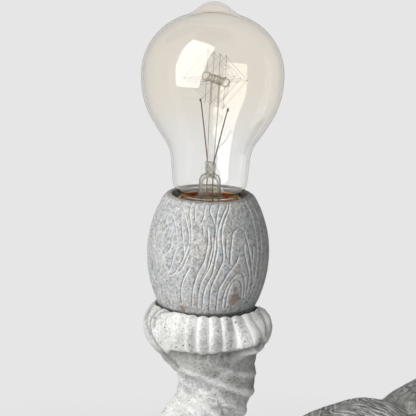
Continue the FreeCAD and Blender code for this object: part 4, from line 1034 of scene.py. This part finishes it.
def make_filament():
    """The thread that goes round the four crosses, from the tip of one lead to the other's."""
    reach = SUPPORT_REACH + 0.8
    thread = [LAMP + (0, -11.5, LEAD_TOP)]
    for turn in range(4 * len(SUPPORT_PLACES) - 1):
        angle = math.radians(180 - 90 * (turn % 4))
        y = SUPPORT_PLACES[turn // 4] + 0.3
        thread.append(on_hub(y) + np.array([math.cos(angle), 0, math.sin(angle)]) * reach)
    thread.append(LAMP + (0, 11.5, LEAD_TOP))
    tungsten = plain_material("tungsten_wire", "#4A423A", "#6B6157", 0.6, 0.5, Metallic=1.0)
    filament = wire_piece("filament_thread", [thread], 0.06, tungsten)
    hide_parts("filament")


def make_leads():
    """The two wires that carry the current up from the pinch, hooked on the thread's ends."""
    leads = []
    for side in (-1, 1):
        low = [(2.4, 25), (2.4, 57), (2.5, 60), (3.1, 63)]
        hook = [(11.3, 85.6), (11.9, 85.2), (11.7, 84.6), (11.2, 84.9)]
        leads.append([LAMP + (0, side * out, height) for out, height in low + hook])
    copper = plain_material("oxidised_copper_wire", "#4A372A", "#7A5A43", 0.9, 0.45, Metallic=1.0)
    pair = wire_piece("lead_in_wires", leads, 0.27, copper)
    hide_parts("lead_wires")


def make_cap():
    """The rolled brass screw cap with its thread."""
    rows = np.linspace(27.4, CAP_RIM - 1.6, 96)
    profile = [(9.6, 24.5), (10.6, 25.2), (12.2, 26.6)] + [(12.7, row) for row in rows]
    rolled = [(12.9, -0.9), (13.5, -0.6), (13.6, -0.2), (13.4, 0), (13, 0), (12.75, -0.3), (12.5, -1)]
    profile += [(radius, CAP_RIM + height) for radius, height in rolled] + [(12.2, 27.6), (9.4, 24.8)]
    mesh = turned("screw_cap", profile, 144)
    spots = spots_of(mesh) - LAMP
    x, y, z = spots.T
    turn = np.arctan2(y, x) / (2 * math.pi)
    wave = np.cos(2 * math.pi * (z / THREAD_PITCH - turn))
    threaded = ramp(z, 27, 28.5) * (1 - ramp(z, CAP_RIM - 5, CAP_RIM - 3))
    reach = np.hypot(x, y)
    grow = 1 + (reach > 12.4) * threaded * (0.38 * wave - 0.05) / reach
    move_spots(mesh, spots * np.stack([grow, grow, np.ones(len(grow))], axis=1) + LAMP)
    brass = plain_material("rolled_brass", "#C79F55", "#E0BE7C", 2.2, 0.3, 0.03, Metallic=1.0)
    cap = new_piece("screw_cap", mesh, "bulb", brass)
    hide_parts("cap_shell")


def make_cement():
    """The red cement that holds the glass in the cap."""
    profile = [(11.86, 40.4), (12.1, 40.4)]
    profile += [(radius, CAP_RIM + height) for radius, height in
                ((12.15, -1), (12.6, -0.5), (12.3, -0.2), (11.86, -0.4))]
    red = plain_material("red_cement", "#9C2606", "#DA4C16", 1.6, 0.85, 0.3)
    cement = new_piece("neck_cement", turned("neck_cement", profile, 96), "bulb", red)
    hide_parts("cap_cement")


def finish_nodes():
    """A finish for each node that stays as the source has it."""
    finishes = [
        (plain_material("zinc_plated_steel", "#A9ACAE", "#C6C8C9", 1.4, 0.4, 0.04, Metallic=1.0),
         ["barrel_floor", "holder_locknut", "belly_screws", "block_screws", "plunger_spring"]),
        (plain_material("turned_brass", "#BE974F", "#D9B673", 1.8, 0.32, 0.03, Metallic=1.0),
         ["threaded_tube", "cord_gland", "gland_nut", "thread_shell", "holder_terminals", "centre_strip",
          "side_contact", "contact_plunger"]),
        (plain_material("moulded_bakelite", "#19120E", "#2B1F18", 3.0, 0.32, 0.03),
         ["holder_base", "holder_core", "holder_skirt"]),
        (plain_material("pressed_wool_felt", "#2C2F2E", "#434745", 0.7, 0.98, 0.4, Sheen_Weight=0.5),
         ["foot_pads"]),
        (plain_material("moulded_abs", "#474A4C", "#54585A", 0.8, 0.55, 0.06), ["belly_cover"]),
        (plain_material("moulded_polyamide", "#DEDCD2", "#E9E7DF", 1.0, 0.5, 0.04), ["terminal_block"]),
        (plain_material("tin_solder", "#7F7D78", "#A5A29B", 0.9, 0.45, 0.1, Metallic=1.0), ["tip_contact"]),
        (plain_material("black_fused_glass", "#120F12", "#1F1A1E", 2.0, 0.14, 0.04), ["cap_insulator"]),
        (plain_material("pvc_lead", "#D6D4CC", "#E4E2DB", 1.2, 0.5, 0.03), ["inner_cable", "wire_tails"]),
        (plain_material("ivory_coloured_resin", "#B9AF99", "#DAD2C0", 1.8, 0.6, 0.12, (0.25, 1, 1)),
         ["tusk_left", "tusk_right"]),
    ]
    for material, nodes in finishes:
        for node in nodes:
            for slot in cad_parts[node].material_slots:
                slot.material = material


# Room and light

BACKDROP = "#E6E6E6"
BULB_MIDDLE = 97


def seen_share(tree):
    """1 where the eye looks, also by way of polished metal or through glass, and 0 for light on the lamp."""
    rays = add(tree, "LightPath").outputs
    seen = rays["Is Camera Ray"]
    for name in ("Is Glossy Ray", "Is Transmission Ray"):
        seen = add(tree, "Math", {0: seen, 1: rays[name]}, operation="MAXIMUM")
    return seen


def make_floor():
    """A pale floor that fades into the backdrop's colour and keeps the lamp's shadow."""
    span = 6
    mesh = bpy.data.meshes.new("studio_floor")
    corners = [(-span, -span, 0), (span, -span, 0), (span, span, 0), (-span, span, 0)]
    mesh.from_pydata(corners, [], [(0, 1, 2, 3)])
    floor = put_in("studio_floor", mesh)
    material, tree, place = new_material("studio_paper")
    mesh.materials.append(material)
    away = add(tree, "VectorMath", {0: place}, operation="LENGTH")
    fade = add(tree, "MapRange", {"Value": away.outputs["Value"], 1: 0.2, 2: 0.62, 3: 0.55, 4: 1.0})
    share = add(tree, "Math", {0: seen_share(tree), 1: fade}, operation="MULTIPLY")
    matt = add(tree, "BsdfDiffuse", {"Color": "#E4E4E4"})
    glow = add(tree, "Emission", {"Color": BACKDROP, "Strength": 1.0})
    mixed = add(tree, "MixShader", {0: share, 1: matt, 2: glow})
    add(tree, "OutputMaterial", {"Surface": mixed})


def make_backdrop():
    """The backdrop's colour where it is seen, and a weak white fill for the lamp."""
    world = bpy.data.worlds.new("studio")
    bpy.context.scene.world = world
    world.use_nodes = True
    tree = world.node_tree
    tree.nodes.clear()
    fill = add(tree, "Background", {"Color": "#FFFFFF", "Strength": 0.22})
    back = add(tree, "Background", {"Color": BACKDROP, "Strength": 1.0})
    mixed = add(tree, "MixShader", {0: seen_share(tree), 1: fill, 2: back})
    add(tree, "OutputWorld", {"Surface": mixed})


def add_light(name, turn, rise, distance, width, height, radiance, only_gloss=False):
    """A soft box that faces the bulb; turn is degrees round from the -Y side and rise is above level."""
    turn = math.radians(turn)
    rise = math.radians(rise)
    light = bpy.data.lights.new(name, "AREA")
    light.shape = "RECTANGLE"
    light.size = width
    light.size_y = height
    light.energy = radiance * math.pi * width * height
    lamp = put_in(name, light)
    aim = Vector((LAMP_X, 0, BARREL_FOOT + BULB_MIDDLE * MM))
    towards = Vector((math.sin(turn) * math.cos(rise), -math.cos(turn) * math.cos(rise), math.sin(rise)))
    lamp.location = aim + distance * towards
    lamp.rotation_euler = (-towards).to_track_quat("-Z", "Y").to_euler()
    lamp.visible_diffuse = not only_gloss


place_camera()
make_skin()
make_barrel()
make_glass()
make_stem()
make_supports()
make_filament()
make_leads()
make_cap()
make_cement()
finish_nodes()
make_floor()
make_backdrop()
# One tall soft box; the glass and the glaze see its face brighter than what falls on the casting
add_light("left_soft_box", turn=-70, rise=28.5, distance=1.2, width=1.05, height=2.28, radiance=3.35)
add_light("left_soft_box_face", turn=-70, rise=28.5, distance=1.21, width=1.05, height=2.28, radiance=1.2,
          only_gloss=True)
bpy.context.scene.view_settings.view_transform = "Standard"
